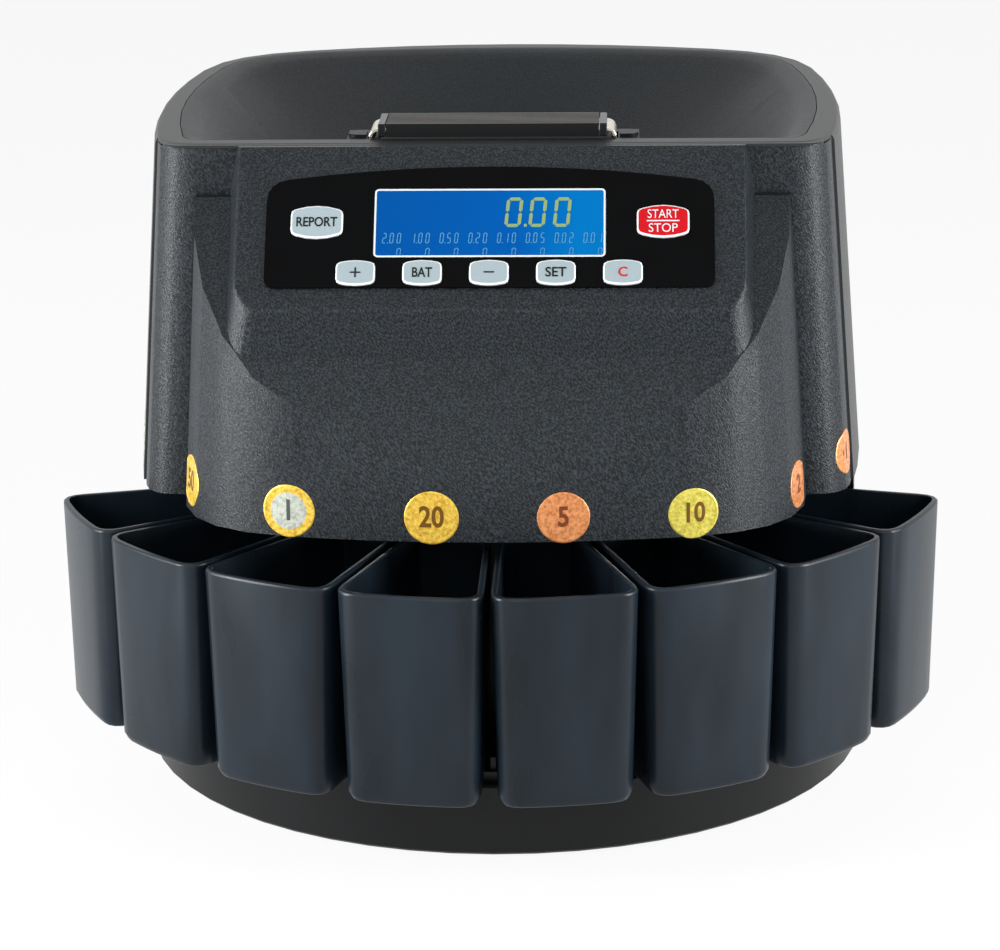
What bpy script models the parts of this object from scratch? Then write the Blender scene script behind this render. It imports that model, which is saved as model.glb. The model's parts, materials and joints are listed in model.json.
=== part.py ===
"""Coin counter with a hopper on top and eight cups in a fan below.

Coins fall down the hopper on a turning disc, which drives them along a round rail
over eight openings of growing width. Each opening drops one size of coin through a
spout into its cup. Metres, +Z up, front towards -Y, origin under the middle of the
whole counter. Radii and angles are taken from the fan axis, angle 0 at the front.
"""

import math

import bmesh
import bpy
from mathutils import Matrix, Vector

GAP = 0.0003
WALL = 0.003
OVERRUN = 0.012

# Cups in a fan
CUP_COUNT = 8
CUP_PITCH = math.radians(18.66)
CUP_RADIUS = 0.184
CUP_DRAW_IN = 0.0012
CUP_HEIGHT = 0.0826
CUP_WALL = 0.0024
CUP_FLOOR = 0.0025
CUP_SLIT_TOP = 0.0025
CUP_SLIT_FOOT = 0.006
CUP_FRONT_CORNER = 0.0095
CUP_BACK_CORNER = 0.004
CUP_FOOT_ROUND = 0.003
CUP_LIP_ROUND = 0.0006
CUP_TO_DRUM = 0.0025

# Round foot under the cups
FOOT_STANDOFF = 0.001
PAN_HEIGHT = 0.0321
PAN_OVERHANG = 0.0357
LEDGE_WIDTH = 0.0053
LEDGE_DROP = 0.0036
PAN_ROUND = 0.001
RIB_WIDTH = 0.002
RIB_HEIGHT = 0.005
RIB_LENGTH = 0.036
POST_RADIUS = 0.005
PLATE_THICKNESS = 0.0015
PAD_RADIUS = 0.008
PAD_STEM = 0.003
PAD_STEM_LENGTH = 0.004
SCREW_RADIUS = 0.0015
SCREW_HEAD = 0.0035
SCREW_HEAD_HEIGHT = 0.0011
SCREW_LENGTH = 0.012

# Lower housing and its drum
DRUM_RADIUS = 0.099
DRUM_WALL = 0.0025
HEAD_ROOM = 0.011
FAN_MARGIN = math.radians(1.86)

# Upper housing, at its foot and at its rim
BODY_HEIGHT = 0.139
BODY_HALF_FRONT = 0.137
BODY_TAPER = 0.003
BODY_FRONT = 0.088
BODY_BACK = 0.120
BODY_DRAFT = 0.010
LOWER_DRAFT = 0.002
SIDE_BULGE = 0.011
BACK_BULGE = 0.029
FRONT_SETBACK = 0.014
BACK_SETBACK = 0.034
RIM_THICKNESS = 0.007
RIM_ROUND = 0.003
LIP_THICKNESS = 0.0012
LIP_REACH = 0.0004
LIP_SETBACK = 0.008
LIP_DEPTH = 0.030
LIP_INSET = 0.001
LIP_STEP = 0.0002
PANEL_DEPTH = 0.0217
PANEL_INSET = 0.001

# Bow in front of the upper housing, its recess and the key console
BOW_HALF = 0.121
BOW_FRONT = 0.1303
BOW_BULGE = 0.020
BOW_SETBACK = 0.045
BOW_DRAFT = 0.0076
BOW_DROP = 0.0195
RECESS_DROP = 0.102
RECESS_TILT = math.radians(28.55)
RECESS_STRAIGHT = 0.0301
RECESS_BEND = 0.020
RECESS_STAND = 0.004
CONSOLE_REACH = 0.0469
CONSOLE_FOLD_DROP = 0.0535
CONSOLE_TILT = math.radians(38.5)
CONSOLE_HALF = 0.0957
CONSOLE_FLARE = 0.28
CONSOLE_CORNER = 0.009
CONSOLE_EDGE = 0.0014

# Key console furniture, measured along and up its face
OVERLAY_HALF = 0.084
OVERLAY_FOOT = 0.0088
OVERLAY_SHOULDER = 0.0525
OVERLAY_BULGE = 0.0065
OVERLAY_CORNER = 0.008
OVERLAY_THICKNESS = 0.0008
WINDOW_HALF = 0.0433
WINDOW_FOOT = 0.0219
WINDOW_HEIGHT = 0.0277
WINDOW_CORNER = 0.0012
KEY_STAND = 0.0008
KEY_DEPTH = 0.0084
KEY_TRAVEL = 0.0006
KEY_CORNER = 0.0016
SMALL_KEY_WIDTH = 0.0147
SMALL_KEY_END = 0.008
SMALL_KEY_BULGE = 0.0012
SMALL_KEY_PITCH = 0.0249
SMALL_KEY_ROW = 0.0147
LARGE_KEY_WIDTH = 0.0196
LARGE_KEY_END = 0.0096
LARGE_KEY_BULGE = 0.002
LARGE_KEY_OFFSET = 0.0648
LARGE_KEY_ROW = 0.0357
BOARD_THICKNESS = 0.0016
BOARD_HALF = 0.0835
BOARD_POST = 0.003
MODULE_MARGIN = 0.0025

# Hopper
SEAM_MARGIN = 0.009
SEAM_FRONT = 0.077
SEAM_BACK = 0.118
SEAM_BACK_BULGE = 0.019
SEAM_FRONT_SETBACK = 0.008
SEAM_BACK_SETBACK = 0.030
FLANGE_THICKNESS = 0.0034
LEDGE_REACH = 0.003
ROLL_WIDTH = 0.010
ROLL_FRONT = 0.003
ROLL_DROP = 0.006
FUNNEL_WALL = 0.0025
WELL_RADIUS = 0.075
WELL_ROUND = 0.004
WELL_DROP = 0.044
WELL_STAND = 0.0031

# Carry handle
GRIP_HALF = 0.0406
GRIP_CAP = 0.0031
GRIP_HEIGHT = 0.0052
GRIP_MARGIN = 0.0013
GRIP_STAND = 0.001
GRIP_RIBS = 9
GRIP_RIB_HEIGHT = 0.0006
STRAP_WIDTH = 0.020
STRAP_MIDDLE = 0.0675
STRAP_THICKNESS = 0.0014
STRAP_LEG_WIDTH = 0.012
STRAP_LEG_OUT = 0.0467
STRAP_HOLD = 0.0055
STRAP_BEND = 0.0036
HANDLE_LIFT = 0.012
PAD_INNER = 0.0442
PAD_LENGTH = 0.0118
PAD_DEPTH = 0.016
PAD_SINK = 0.0004
PAD_WALL = 0.0048
BOSS_HEIGHT = 0.0009
BOSS_WIDTH = 0.010

# Sorting deck and what turns on it
DECK_THICKNESS = 0.003
WINDOW_DEPTH = 0.0112
WINDOW_SPREAD = math.radians(6.5)
SPOUT_WALL = 0.0016
SPOUT_LENGTH = 0.0093
RING_STAND = 0.0024
RING_THICKNESS = 0.0015
RING_LIP = 0.0013
COIN_DIAMETERS = (0.02575, 0.02425, 0.02325, 0.02225, 0.02125, 0.01975, 0.01875, 0.01625)
COIN_TIP = 0.0008
RAIL_WIDTH = 0.003
RAIL_HEIGHT = 0.0092
DISC_THICKNESS = 0.0032
DISC_CLEARANCE = 0.0009
DISC_RIBS = 6
DISC_RIB_HEIGHT = 0.0022
DISC_RIB_WIDTH = 0.003
HUB_RADIUS = 0.016
HUB_HEIGHT = 0.012
SPINDLE_RADIUS = 0.004
SPINDLE_LENGTH = 0.044
BEARING_RADIUS = 0.011
BEARING_FLANGE = 0.015
BEARING_FLANGE_HEIGHT = 0.003
GEAR_MODULE = 0.0015
GEAR_TEETH = 40
PINION_TEETH = 10
GEAR_WIDTH = 0.006
GEAR_DROP = 0.017
GEAR_BACKLASH = 0.0002
PRESSURE_ANGLE = math.radians(20)
PINION_SHAFT = 0.0025
BRACKET_DROP = 0.0025
BRACKET_POST = 0.004
BRACKET_SIDE = 0.038
MOTOR_RADIUS = 0.021
MOTOR_LENGTH = 0.045
MOTOR_BOSS = 0.007
SENSOR_WIDTH = 0.030
SENSOR_DEPTH = 0.016
SENSOR_HEIGHT = 0.010

# Power pieces at the back
REAR_PANEL_HALF = 0.050
REAR_PANEL_SINK = 0.0062
REAR_PANEL_LOW = 0.012
REAR_PANEL_HEIGHT = 0.040
INLET_PLACE = -0.029
INLET_WIDTH = 0.027
INLET_HEIGHT = 0.0196
INLET_DEPTH = 0.020
INLET_RIM = 0.002
PIN_WIDTH = 0.002
PIN_HEIGHT = 0.004
PIN_LENGTH = 0.009
PIN_PITCH = 0.007
SWITCH_PLACE = 0.003
SWITCH_WIDTH = 0.0128
SWITCH_RADIUS = 0.0092
SWITCH_WALL = 0.0016
SWITCH_DEPTH = 0.012
SWITCH_THROW = math.radians(14)
PORT_PLACE = 0.031
PORT_WIDTH = 0.015
PORT_HEIGHT = 0.013
PORT_DEPTH = 0.014
PORT_WALL = 0.0022
CORE_WIDTH = 0.052
CORE_DEPTH = 0.034
CORE_HEIGHT = 0.044
CORE_PLACE = -0.066
COIL_BULGE = 0.009
COIL_MARGIN = 0.008

# Heights that follow
PAN_FOOT_Z = FOOT_STANDOFF
PAN_TOP_Z = PAN_FOOT_Z + PAN_HEIGHT
CUP_FOOT_Z = PAN_TOP_Z + GAP
CUP_RIM_Z = CUP_FOOT_Z + CUP_HEIGHT
SEAM_Z = CUP_RIM_Z + HEAD_ROOM
BODY_FOOT_Z = SEAM_Z + GAP
RIM_Z = SEAM_Z + BODY_HEIGHT
LIP_Z = RIM_Z - LIP_THICKNESS
FLANGE_Z = RIM_Z - FLANGE_THICKNESS
PANEL_TOP_Z = LIP_Z - GAP
DECK_Z = BODY_FOOT_Z
DECK_TOP_Z = DECK_Z + DECK_THICKNESS
RING_Z = DECK_TOP_Z + RING_STAND + GAP
RING_TOP_Z = RING_Z + RING_THICKNESS
RAIL_Z = RING_TOP_Z + GAP
DISC_Z = DECK_TOP_Z + DISC_CLEARANCE
DISC_TOP_Z = DISC_Z + DISC_THICKNESS
BEARING_TOP_Z = DISC_Z - GAP
BEARING_FOOT_Z = DECK_Z - GAP - BEARING_FLANGE_HEIGHT
GEAR_TOP_Z = DECK_Z - GEAR_DROP
GEAR_Z = GEAR_TOP_Z - GEAR_WIDTH
BRACKET_TOP_Z = GEAR_Z - BRACKET_DROP
BRACKET_Z = BRACKET_TOP_Z - WALL
MOTOR_TOP_Z = BRACKET_Z - GAP
WELL_TOP_Z = RIM_Z - WELL_DROP
WELL_FOOT_Z = DISC_TOP_Z + WELL_STAND
CONSOLE_FOLD_Z = RIM_Z - CONSOLE_FOLD_DROP
CONSOLE_TOP_Z = RIM_Z - LIP_STEP
BOW_TOP_Z = RIM_Z - BOW_DROP
RECESS_Z = RIM_Z - RECESS_DROP
CONSOLE_FOOT_Z = RECESS_Z + RECESS_STRAIGHT - 2 * WALL

# Radii and places that follow
BODY_HALF_BACK = BODY_HALF_FRONT - BODY_TAPER
STRAP_LEG_LENGTH = HANDLE_LIFT + STRAP_HOLD
CUP_BACK = DRUM_RADIUS + CUP_TO_DRUM
PAN_RADIUS = CUP_RADIUS - PAN_OVERHANG
WINDOW_INNER = CUP_BACK + CUP_WALL + GAP
RAIL_RADIUS = WINDOW_INNER + WINDOW_DEPTH
SLOT_WIDTHS = [diameter / 2 + COIN_TIP for diameter in COIN_DIAMETERS]
RING_INNER = RAIL_RADIUS - max(SLOT_WIDTHS) - RING_LIP
RING_OUTER = RAIL_RADIUS + 2 * RAIL_WIDTH
FEED_RADIUS = RING_INNER - 2 * GAP
GEAR_RADIUS = GEAR_MODULE * GEAR_TEETH / 2
PINION_RADIUS = GEAR_MODULE * PINION_TEETH / 2
MOTOR_Y = GEAR_RADIUS + PINION_RADIUS
FAN_HALF = CUP_COUNT * CUP_PITCH / 2
REAR_Y = BODY_BACK + BACK_BULGE
PANEL_BACK = -BODY_FRONT + PANEL_DEPTH
CONSOLE_FRONT = -BODY_FRONT + PANEL_INSET - CONSOLE_REACH
STRAP_Y = -STRAP_MIDDLE
CUP_FRONT_ANGLE = CUP_FRONT_CORNER / CUP_RADIUS + CUP_SLIT_TOP / 2 / CUP_RADIUS
FAN_Y = (CUP_RADIUS * math.cos(CUP_FRONT_ANGLE / 2) - REAR_Y) / 2

for old in list(bpy.data.objects):
    bpy.data.objects.remove(old, do_unlink=True)

PARTS = bpy.data.collections.new("coin_counter")
CUTTERS = bpy.data.collections.new("cutters")
bpy.context.scene.collection.children.link(PARTS)
bpy.context.scene.collection.children.link(CUTTERS)


def frame(name, parent, place, tilt=0.0):
    """An empty that carries the pieces placed from it, turned about X by tilt."""
    empty = bpy.data.objects.new(name, None)
    empty.location = place
    empty.rotation_euler.x = tilt
    empty.parent = parent
    PARTS.objects.link(empty)
    return empty


def finish(name, colour, roughness, metallic=0.0):
    """A Principled material from an sRGB hex colour."""
    material = bpy.data.materials.new(name)
    material.use_nodes = True
    shader = material.node_tree.nodes["Principled BSDF"]
    channels = [int(colour[place:place + 2], 16) / 255 for place in (1, 3, 5)]
    linear = [value / 12.92 if value <= 0.04045 else ((value + 0.055) / 1.055) ** 2.4 for value in channels]
    shader.inputs["Base Color"].default_value = (*linear, 1.0)
    shader.inputs["Roughness"].default_value = roughness
    shader.inputs["Metallic"].default_value = metallic
    material.diffuse_color = (*linear, 1.0)
    return material


def mesh_of(name, shape, sharp=math.radians(35)):
    """Turn a bmesh into a mesh, shaded smooth except along its sharp edges."""
    bmesh.ops.recalc_face_normals(shape, faces=shape.faces)
    mesh = bpy.data.meshes.new(name)
    shape.to_mesh(mesh)
    shape.free()
    mesh.shade_smooth()
    mesh.set_sharp_from_angle(angle=sharp)
    return mesh


def piece(name, mesh, material, parent, place=(0, 0, 0)):
    """A part of the counter: one object with its own material."""
    if not mesh.materials:
        mesh.materials.append(material)
    part = bpy.data.objects.new(name, mesh)
    part.location = place
    part.parent = parent
    PARTS.objects.link(part)
    return part


def tool(name, shape, parent):
    """A cutter, or a body that is fused to a part: never a part itself."""
    body = bpy.data.objects.new(name, mesh_of(name, shape))
    body.parent = parent
    body.hide_render = True
    body.display_type = "WIRE"
    CUTTERS.objects.link(body)
    return body


def boolean(target, body, operation):
    step = target.modifiers.new(body.name, "BOOLEAN")
    step.object = body
    step.operation = operation
    step.solver = "EXACT"


def cut(target, body):
    boolean(target, body, "DIFFERENCE")


def fuse(target, body):
    boolean(target, body, "UNION")


def keep(target, body):
    boolean(target, body, "INTERSECT")


def box(low, high, into=None):
    """A box between two corners, added to a shape or as a new one."""
    shape = into or bmesh.new()
    low, high = Vector(low), Vector(high)
    size = Matrix.Diagonal(high - low).to_4x4()
    bmesh.ops.create_cube(shape, size=1.0, matrix=Matrix.Translation((low + high) / 2) @ size)
    return shape


def rod(radius, low, high, place=(0, 0), segments=24, into=None, tip=None):
    """An upright cylinder, or a cone when its upper radius, tip, is given."""
    shape = into or bmesh.new()
    middle = Matrix.Translation((place[0], place[1], (low + high) / 2))
    upper = radius if tip is None else tip
    bmesh.ops.create_cone(shape, cap_ends=True, segments=segments, radius1=radius, radius2=upper,
                          depth=high - low, matrix=middle)
    return shape


def polar(radius, angle):
    return Vector((radius * math.sin(angle), -radius * math.cos(angle)))


def ring(points, z):
    return [Vector((point.x, point.y, z)) for point in points]


def loft(rings, looped=False, into=None):
    """Skin rings of equal length; the first and last are capped unless they meet."""
    shape = into or bmesh.new()
    rows = [[shape.verts.new(point) for point in row] for row in rings]
    followers = rows[1:] + rows[:1] if looped else rows[1:]
    for lower, upper in zip(rows, followers):
        for index in range(len(lower)):
            after = (index + 1) % len(lower)
            shape.faces.new((lower[index], lower[after], upper[after], upper[index]))
    if not looped:
        shape.faces.new(list(reversed(rows[0])))
        shape.faces.new(rows[-1])
    return shape


def prism(points, low, high, into=None):
    """A plan outline carried from one height to another."""
    return loft([ring(points, low), ring(points, high)], into=into)


def sector(inner, outer, middle, spread, low, high, steps=4, into=None):
    """A piece of a flat ring, spread to both sides of its middle angle."""
    angles = [middle - spread + 2 * spread * step / steps for step in range(steps + 1)]
    points = [polar(outer, angle) for angle in angles]
    points += [polar(inner, angle) for angle in reversed(angles)]
    return prism(points, low, high, into=into)


def turned(name, profile, steps, closed_on_axis=True):
    """A profile of (radius, z) points, its outer side listed top to bottom, spun about Z."""
    mesh = bpy.data.meshes.new(name)
    count = len(profile)
    edges = [(index, index + 1) for index in range(count - 1)]
    if not closed_on_axis:
        edges.append((count - 1, 0))
    mesh.from_pydata([(radius, 0, z) for radius, z in profile], edges, [])
    return mesh, steps, closed_on_axis


def spin(part, steps, on_axis):
    """The Screw modifier that turns a part's profile into its solid."""
    screw = part.modifiers.new("turning", "SCREW")
    screw.steps = steps
    screw.render_steps = steps
    screw.use_merge_vertices = on_axis
    screw.merge_threshold = GAP / 100
    screw.use_smooth_shade = True


def edge_point(start, end, bulge, share):
    """A point on an edge that bulges to its right by a parabola."""
    along = end - start
    outward = Vector((along.y, -along.x)).normalized()
    return start + along * share + outward * bulge * 4 * share * (1 - share)


def edge_slope(start, end, bulge, share):
    along = end - start
    outward = Vector((along.y, -along.x)).normalized()
    return along + outward * bulge * 4 * (1 - 2 * share)


def bend(start, control, end, steps):
    """A quadratic curve from start to end, drawn towards control."""
    shares = [step / steps for step in range(steps + 1)]
    return [start.lerp(control, share).lerp(control.lerp(end, share), share) for share in shares]


def crossing(point, slope, other, other_slope):
    """Where two lines meet, each given by a point and a slope."""
    turn = slope.x * other_slope.y - slope.y * other_slope.x
    offset = other - point
    return point + slope * ((offset.x * other_slope.y - offset.y * other_slope.x) / turn)


def outline(corners, bulges, setbacks, steps, corner_steps=4):
    """A closed outline, counterclockwise: bulged edges between rounded corners.

    A corner with no setback stays sharp.
    """
    corners = [Vector(corner) for corner in corners]
    count = len(corners)
    points = []
    for index in range(count):
        start, end, beyond = (corners[(index + turn) % count] for turn in range(3))
        setback, next_setback = setbacks[index], setbacks[(index + 1) % count]
        first = setback / (end - start).length
        last = 1 - next_setback / (end - start).length
        for step in range(0 if setback else 1, steps[index] + 1):
            share = first + (last - first) * step / steps[index]
            points.append(edge_point(start, end, bulges[index], share))
        if not next_setback:
            continue
        following = next_setback / (beyond - end).length
        bulge = bulges[(index + 1) % count]
        leave, arrive = points[-1], edge_point(end, beyond, bulge, following)
        slope = edge_slope(start, end, bulges[index], last)
        knee = crossing(leave, slope, arrive, edge_slope(end, beyond, bulge, following))
        points += bend(leave, knee, arrive, corner_steps)[1:-1]
    return points


def grown(points, distance):
    """The outline moved outward by a distance, or inward by a negative one."""
    moved = []
    for index, point in enumerate(points):
        before = (point - points[index - 1]).normalized()
        after = (points[(index + 1) % len(points)] - point).normalized()
        normal = Vector((before.y + after.y, -before.x - after.x))
        moved.append(point + normal * (2 * distance / normal.length_squared))
    return moved


def barrel(width, end, bulge, corner, centre):
    """A key's outline: straight ends, bulged top and bottom."""
    left, right = centre[0] - width / 2, centre[0] + width / 2
    low, high = centre[1] - end / 2, centre[1] + end / 2
    corners = ((left, low), (right, low), (right, high), (left, high))
    return outline(corners, (bulge, 0, bulge, 0), (corner,) * 4, (4, 1, 4, 1), 2)


def body_plan(z, grow=0.0):
    """The upper housing's outline: draws in towards the rim."""
    draft = BODY_DRAFT * (z - SEAM_Z) / BODY_HEIGHT
    front, back = BODY_HALF_FRONT - draft, BODY_HALF_BACK - draft
    corners = ((-front, -BODY_FRONT), (front, -BODY_FRONT), (back, BODY_BACK), (-back, BODY_BACK))
    bulges = (0, SIDE_BULGE, BACK_BULGE, SIDE_BULGE)
    setbacks = (FRONT_SETBACK, FRONT_SETBACK, BACK_SETBACK, BACK_SETBACK)
    return grown(outline(corners, bulges, setbacks, (1, 6, 8, 6)), grow)


def lower_plan(z, grow=0.0):
    """The lower housing's outline: the upper one's foot, widening a little downward."""
    draft = LOWER_DRAFT * (SEAM_Z - z) / (SEAM_Z - PAN_TOP_Z)
    return body_plan(SEAM_Z, grow + draft - LOWER_DRAFT)


def bow_plan(z, grow=0.0):
    """The bowed front's outline, running straight back into the housing."""
    half = BOW_HALF - BOW_DRAFT * (z - BODY_FOOT_Z) / (BOW_TOP_Z - BODY_FOOT_Z)
    back = PANEL_BACK + PANEL_DEPTH / 2
    corners = ((-half, -BOW_FRONT), (half, -BOW_FRONT), (half, back), (-half, back))
    setbacks = (BOW_SETBACK, BOW_SETBACK, 0, 0)
    return grown(outline(corners, (BOW_BULGE, 0, 0, 0), setbacks, (10, 1, 1, 1), 5), grow)


def seam_plan(draw_in=0.0, draw_in_front=0.0):
    """The hopper's outline in the rim, drawn in on its sides and back, and on its front."""
    front = BODY_HALF_FRONT - BODY_DRAFT - SEAM_MARGIN - draw_in
    back = BODY_HALF_BACK - BODY_DRAFT - SEAM_MARGIN - draw_in
    near, far = -SEAM_FRONT + draw_in_front, SEAM_BACK - draw_in
    corners = ((-front, near), (front, near), (back, far), (-back, far))
    bulges = (0, SIDE_BULGE, SEAM_BACK_BULGE, SIDE_BULGE)
    setbacks = (SEAM_FRONT_SETBACK, SEAM_FRONT_SETBACK, SEAM_BACK_SETBACK, SEAM_BACK_SETBACK)
    return outline(corners, bulges, setbacks, (12, 6, 8, 6), 4)


def on_circle(points, radius):
    """Points on a circle in the same directions as the given ones."""
    return [point.normalized() * radius for point in points]


AXIS = frame("fan_axis", None, (0, FAN_Y, 0))
FACE = frame("console_face", AXIS, (0, CONSOLE_FRONT, CONSOLE_FOLD_Z), math.pi / 2 - CONSOLE_TILT)


def cup_plan(inset, slit, radius):
    """A cup's outline in the fan, its walls drawn in by inset."""
    side, far, near = slit / 2 + inset, radius - inset, CUP_BACK + inset
    far_angle = CUP_PITCH / 2 - math.asin(side / far)
    near_angle = CUP_PITCH / 2 - math.asin(side / near)
    far_corner, near_corner = polar(far, far_angle), polar(near, near_angle)
    along = (far_corner - near_corner).normalized()
    far_set, near_set = CUP_FRONT_CORNER - inset, CUP_BACK_CORNER - inset / 2
    last, first = far_angle - far_set / far, near_angle - near_set / near
    half = [polar(far, last * step / 3) for step in range(3)]
    half += bend(polar(far, last), far_corner, far_corner - along * far_set, 4)
    half += bend(near_corner + along * near_set, near_corner, polar(near, first), 2)
    half.append(polar(near, 0))
    mirrored = [Vector((-point.x, point.y)) for point in reversed(half[1:-1])]
    return half + mirrored


def coin_cups():
    """Eight loose cups that pull out along the fan: thin walls, drawn-in foot, open top."""
    foot_radius = CUP_RADIUS - CUP_DRAW_IN
    floor_z, rim_z = CUP_FOOT_Z + CUP_FLOOR, CUP_RIM_Z
    foot = cup_plan(CUP_FOOT_ROUND / 2, CUP_SLIT_FOOT, foot_radius)
    bulge = cup_plan(0, CUP_SLIT_FOOT, foot_radius)
    brow = cup_plan(0, CUP_SLIT_TOP, CUP_RADIUS)
    lip = cup_plan(CUP_LIP_ROUND, CUP_SLIT_TOP, CUP_RADIUS)
    inner_lip = cup_plan(CUP_WALL, CUP_SLIT_TOP, CUP_RADIUS)
    inner_foot = cup_plan(CUP_WALL, CUP_SLIT_FOOT, foot_radius)
    rings = [ring(foot, CUP_FOOT_Z), ring(bulge, CUP_FOOT_Z + CUP_FOOT_ROUND),
             ring(brow, rim_z - CUP_LIP_ROUND), ring(lip, rim_z),
             ring(inner_lip, rim_z), ring(inner_foot, floor_z)]
    mesh = mesh_of("coin_cup", loft(rings))
    gloss = finish("cup_plastic", "#1f262c", 0.25)
    for index in range(CUP_COUNT):
        cup = piece(f"coin_cup_{index + 1}", mesh, gloss, AXIS)
        cup.rotation_euler.z = (index - (CUP_COUNT - 1) / 2) * CUP_PITCH


PAD_PLACES = [Vector((side * PAN_RADIUS * 0.62, PAN_RADIUS * share))
              for share in (-0.56, 0.62) for side in (-1, 1)]
POST_PLACES = [Vector((side * PAN_RADIUS * 0.36, PAN_RADIUS * share))
               for share in (-0.72, 0.72) for side in (-1, 1)]


def base_pan():
    """The round foot with its ledge, plateau and guide ribs, and the rear foot block."""
    ledge_z = PAN_TOP_Z - LEDGE_DROP
    profile = [(0, PAN_TOP_Z), (PAN_RADIUS - LEDGE_WIDTH, PAN_TOP_Z), (PAN_RADIUS - LEDGE_WIDTH, ledge_z),
               (PAN_RADIUS - PAN_ROUND, ledge_z), (PAN_RADIUS, ledge_z - PAN_ROUND),
               (PAN_RADIUS, PAN_FOOT_Z + PAN_ROUND), (PAN_RADIUS - PAN_ROUND, PAN_FOOT_Z), (0, PAN_FOOT_Z)]
    mesh, steps, on_axis = turned("base_pan", profile, 56)
    pan = piece("base_pan", mesh, finish("base_plastic", "#26282a", 0.5), AXIS)
    spin(pan, steps, on_axis)
    split = BODY_BACK / 8
    rear = tool("rear_foot", loft([ring(lower_plan(PAN_TOP_Z, -PAN_ROUND), PAN_FOOT_Z),
                                   ring(lower_plan(PAN_TOP_Z), PAN_FOOT_Z + PAN_ROUND),
                                   ring(lower_plan(PAN_TOP_Z), PAN_TOP_Z)]), AXIS)
    reach = 2 * PAN_RADIUS
    cut(rear, tool("rear_foot_trim", box((-reach, -reach, -OVERRUN), (reach, split, SEAM_Z)), AXIS))
    fuse(pan, rear)
    hollow_z = ledge_z - WALL
    cut(pan, tool("pan_hollow", rod(PAN_RADIUS - WALL, -OVERRUN, hollow_z, segments=56), AXIS))
    block = tool("rear_hollow", prism(lower_plan(PAN_TOP_Z, -WALL), -OVERRUN, hollow_z - WALL), AXIS)
    cut(block, tool("rear_hollow_trim", box((-reach, -reach, -2 * OVERRUN), (reach, split + WALL, SEAM_Z)), AXIS))
    cut(pan, block)
    ribs = bmesh.new()
    middle = CUP_BACK + RIB_LENGTH / 2 + WALL
    for index in range(CUP_COUNT + 1):
        rib = box((-RIB_WIDTH / 2, -middle - RIB_LENGTH / 2, PAN_TOP_Z - RIB_WIDTH),
                  (RIB_WIDTH / 2, -middle + RIB_LENGTH / 2, PAN_TOP_Z + RIB_HEIGHT))
        rib.transform(Matrix.Rotation(index * CUP_PITCH - FAN_HALF, 4, "Z"))
        turned_rib = bpy.data.meshes.new("rib")
        rib.to_mesh(turned_rib)
        rib.free()
        ribs.from_mesh(turned_rib)
        bpy.data.meshes.remove(turned_rib)
    fuse(pan, tool("guide_ribs", ribs, AXIS))
    posts, bores = bmesh.new(), bmesh.new()
    for place in POST_PLACES:
        rod(POST_RADIUS, PLATE_TOP_Z + GAP, hollow_z + WALL / 2, place, 16, posts)
        rod(SCREW_RADIUS + GAP, 0, PLATE_Z + SCREW_LENGTH + GAP, place, 12, bores)
    fuse(pan, tool("plate_posts", posts, AXIS))
    cut(pan, tool("post_bores", bores, AXIS))


PLATE_Z = PAN_FOOT_Z + PAN_ROUND
PLATE_TOP_Z = PLATE_Z + PLATE_THICKNESS


def bottom_plate():
    """The steel plate that closes the foot, its four screws and four rubber feet."""
    disc = prism([polar(PAN_RADIUS - WALL - 2 * GAP, math.tau * step / 56) for step in range(56)],
                 PLATE_Z, PLATE_TOP_Z)
    plate = piece("bottom_plate", mesh_of("bottom_plate", disc), finish("plate_steel", "#6b6f73", 0.45, 0.9), AXIS)
    block = tool("plate_rear", prism(lower_plan(PAN_TOP_Z, -WALL - GAP), PLATE_Z, PLATE_TOP_Z), AXIS)
    reach = 2 * PAN_RADIUS
    trim = box((-reach, -reach, -OVERRUN), (reach, BODY_BACK / 8 + WALL + GAP, SEAM_Z))
    cut(block, tool("plate_rear_trim", trim, AXIS))
    fuse(plate, block)
    holes = bmesh.new()
    for place in POST_PLACES:
        rod(SCREW_RADIUS + GAP, 0, SEAM_Z, place, 12, holes)
    for place in PAD_PLACES:
        rod(PAD_STEM + GAP, 0, SEAM_Z, place, 16, holes)
    cut(plate, tool("plate_holes", holes, AXIS))
    rubber = finish("foot_rubber", "#1a1a1a", 0.9)
    steel = finish("screw_steel", "#9a9da0", 0.35, 1.0)
    under = PLATE_Z - GAP
    foot_profile = [(0, under + PAD_STEM_LENGTH), (PAD_STEM, under + PAD_STEM_LENGTH), (PAD_STEM, under),
                    (PAD_RADIUS, under), (PAD_RADIUS - PAN_ROUND, 0), (0, 0)]
    screw_profile = [(0, PLATE_Z + SCREW_LENGTH), (SCREW_RADIUS, PLATE_Z + SCREW_LENGTH - SCREW_RADIUS),
                     (SCREW_RADIUS, under), (SCREW_HEAD, under),
                     (SCREW_HEAD - SCREW_RADIUS, under - SCREW_HEAD_HEIGHT), (0, under - SCREW_HEAD_HEIGHT)]
    for label, profile, places, material in (("rubber_foot", foot_profile, PAD_PLACES, rubber),
                                             ("plate_screw", screw_profile, POST_PLACES, steel)):
        mesh, steps, on_axis = turned(label, profile, 16)
        for index, place in enumerate(places):
            part = piece(f"{label}_{index + 1}", mesh, material, AXIS, (*place, 0))
            spin(part, steps, on_axis)


def fan_wedge(spread, radius, low, high):
    """The space of the cups: a wide pie slice in front of the fan axis."""
    arc = [polar(radius, -spread + 2 * spread * step / CUP_COUNT) for step in range(CUP_COUNT + 1)]
    return prism([Vector((0, 0))] + arc, low, high)


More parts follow.
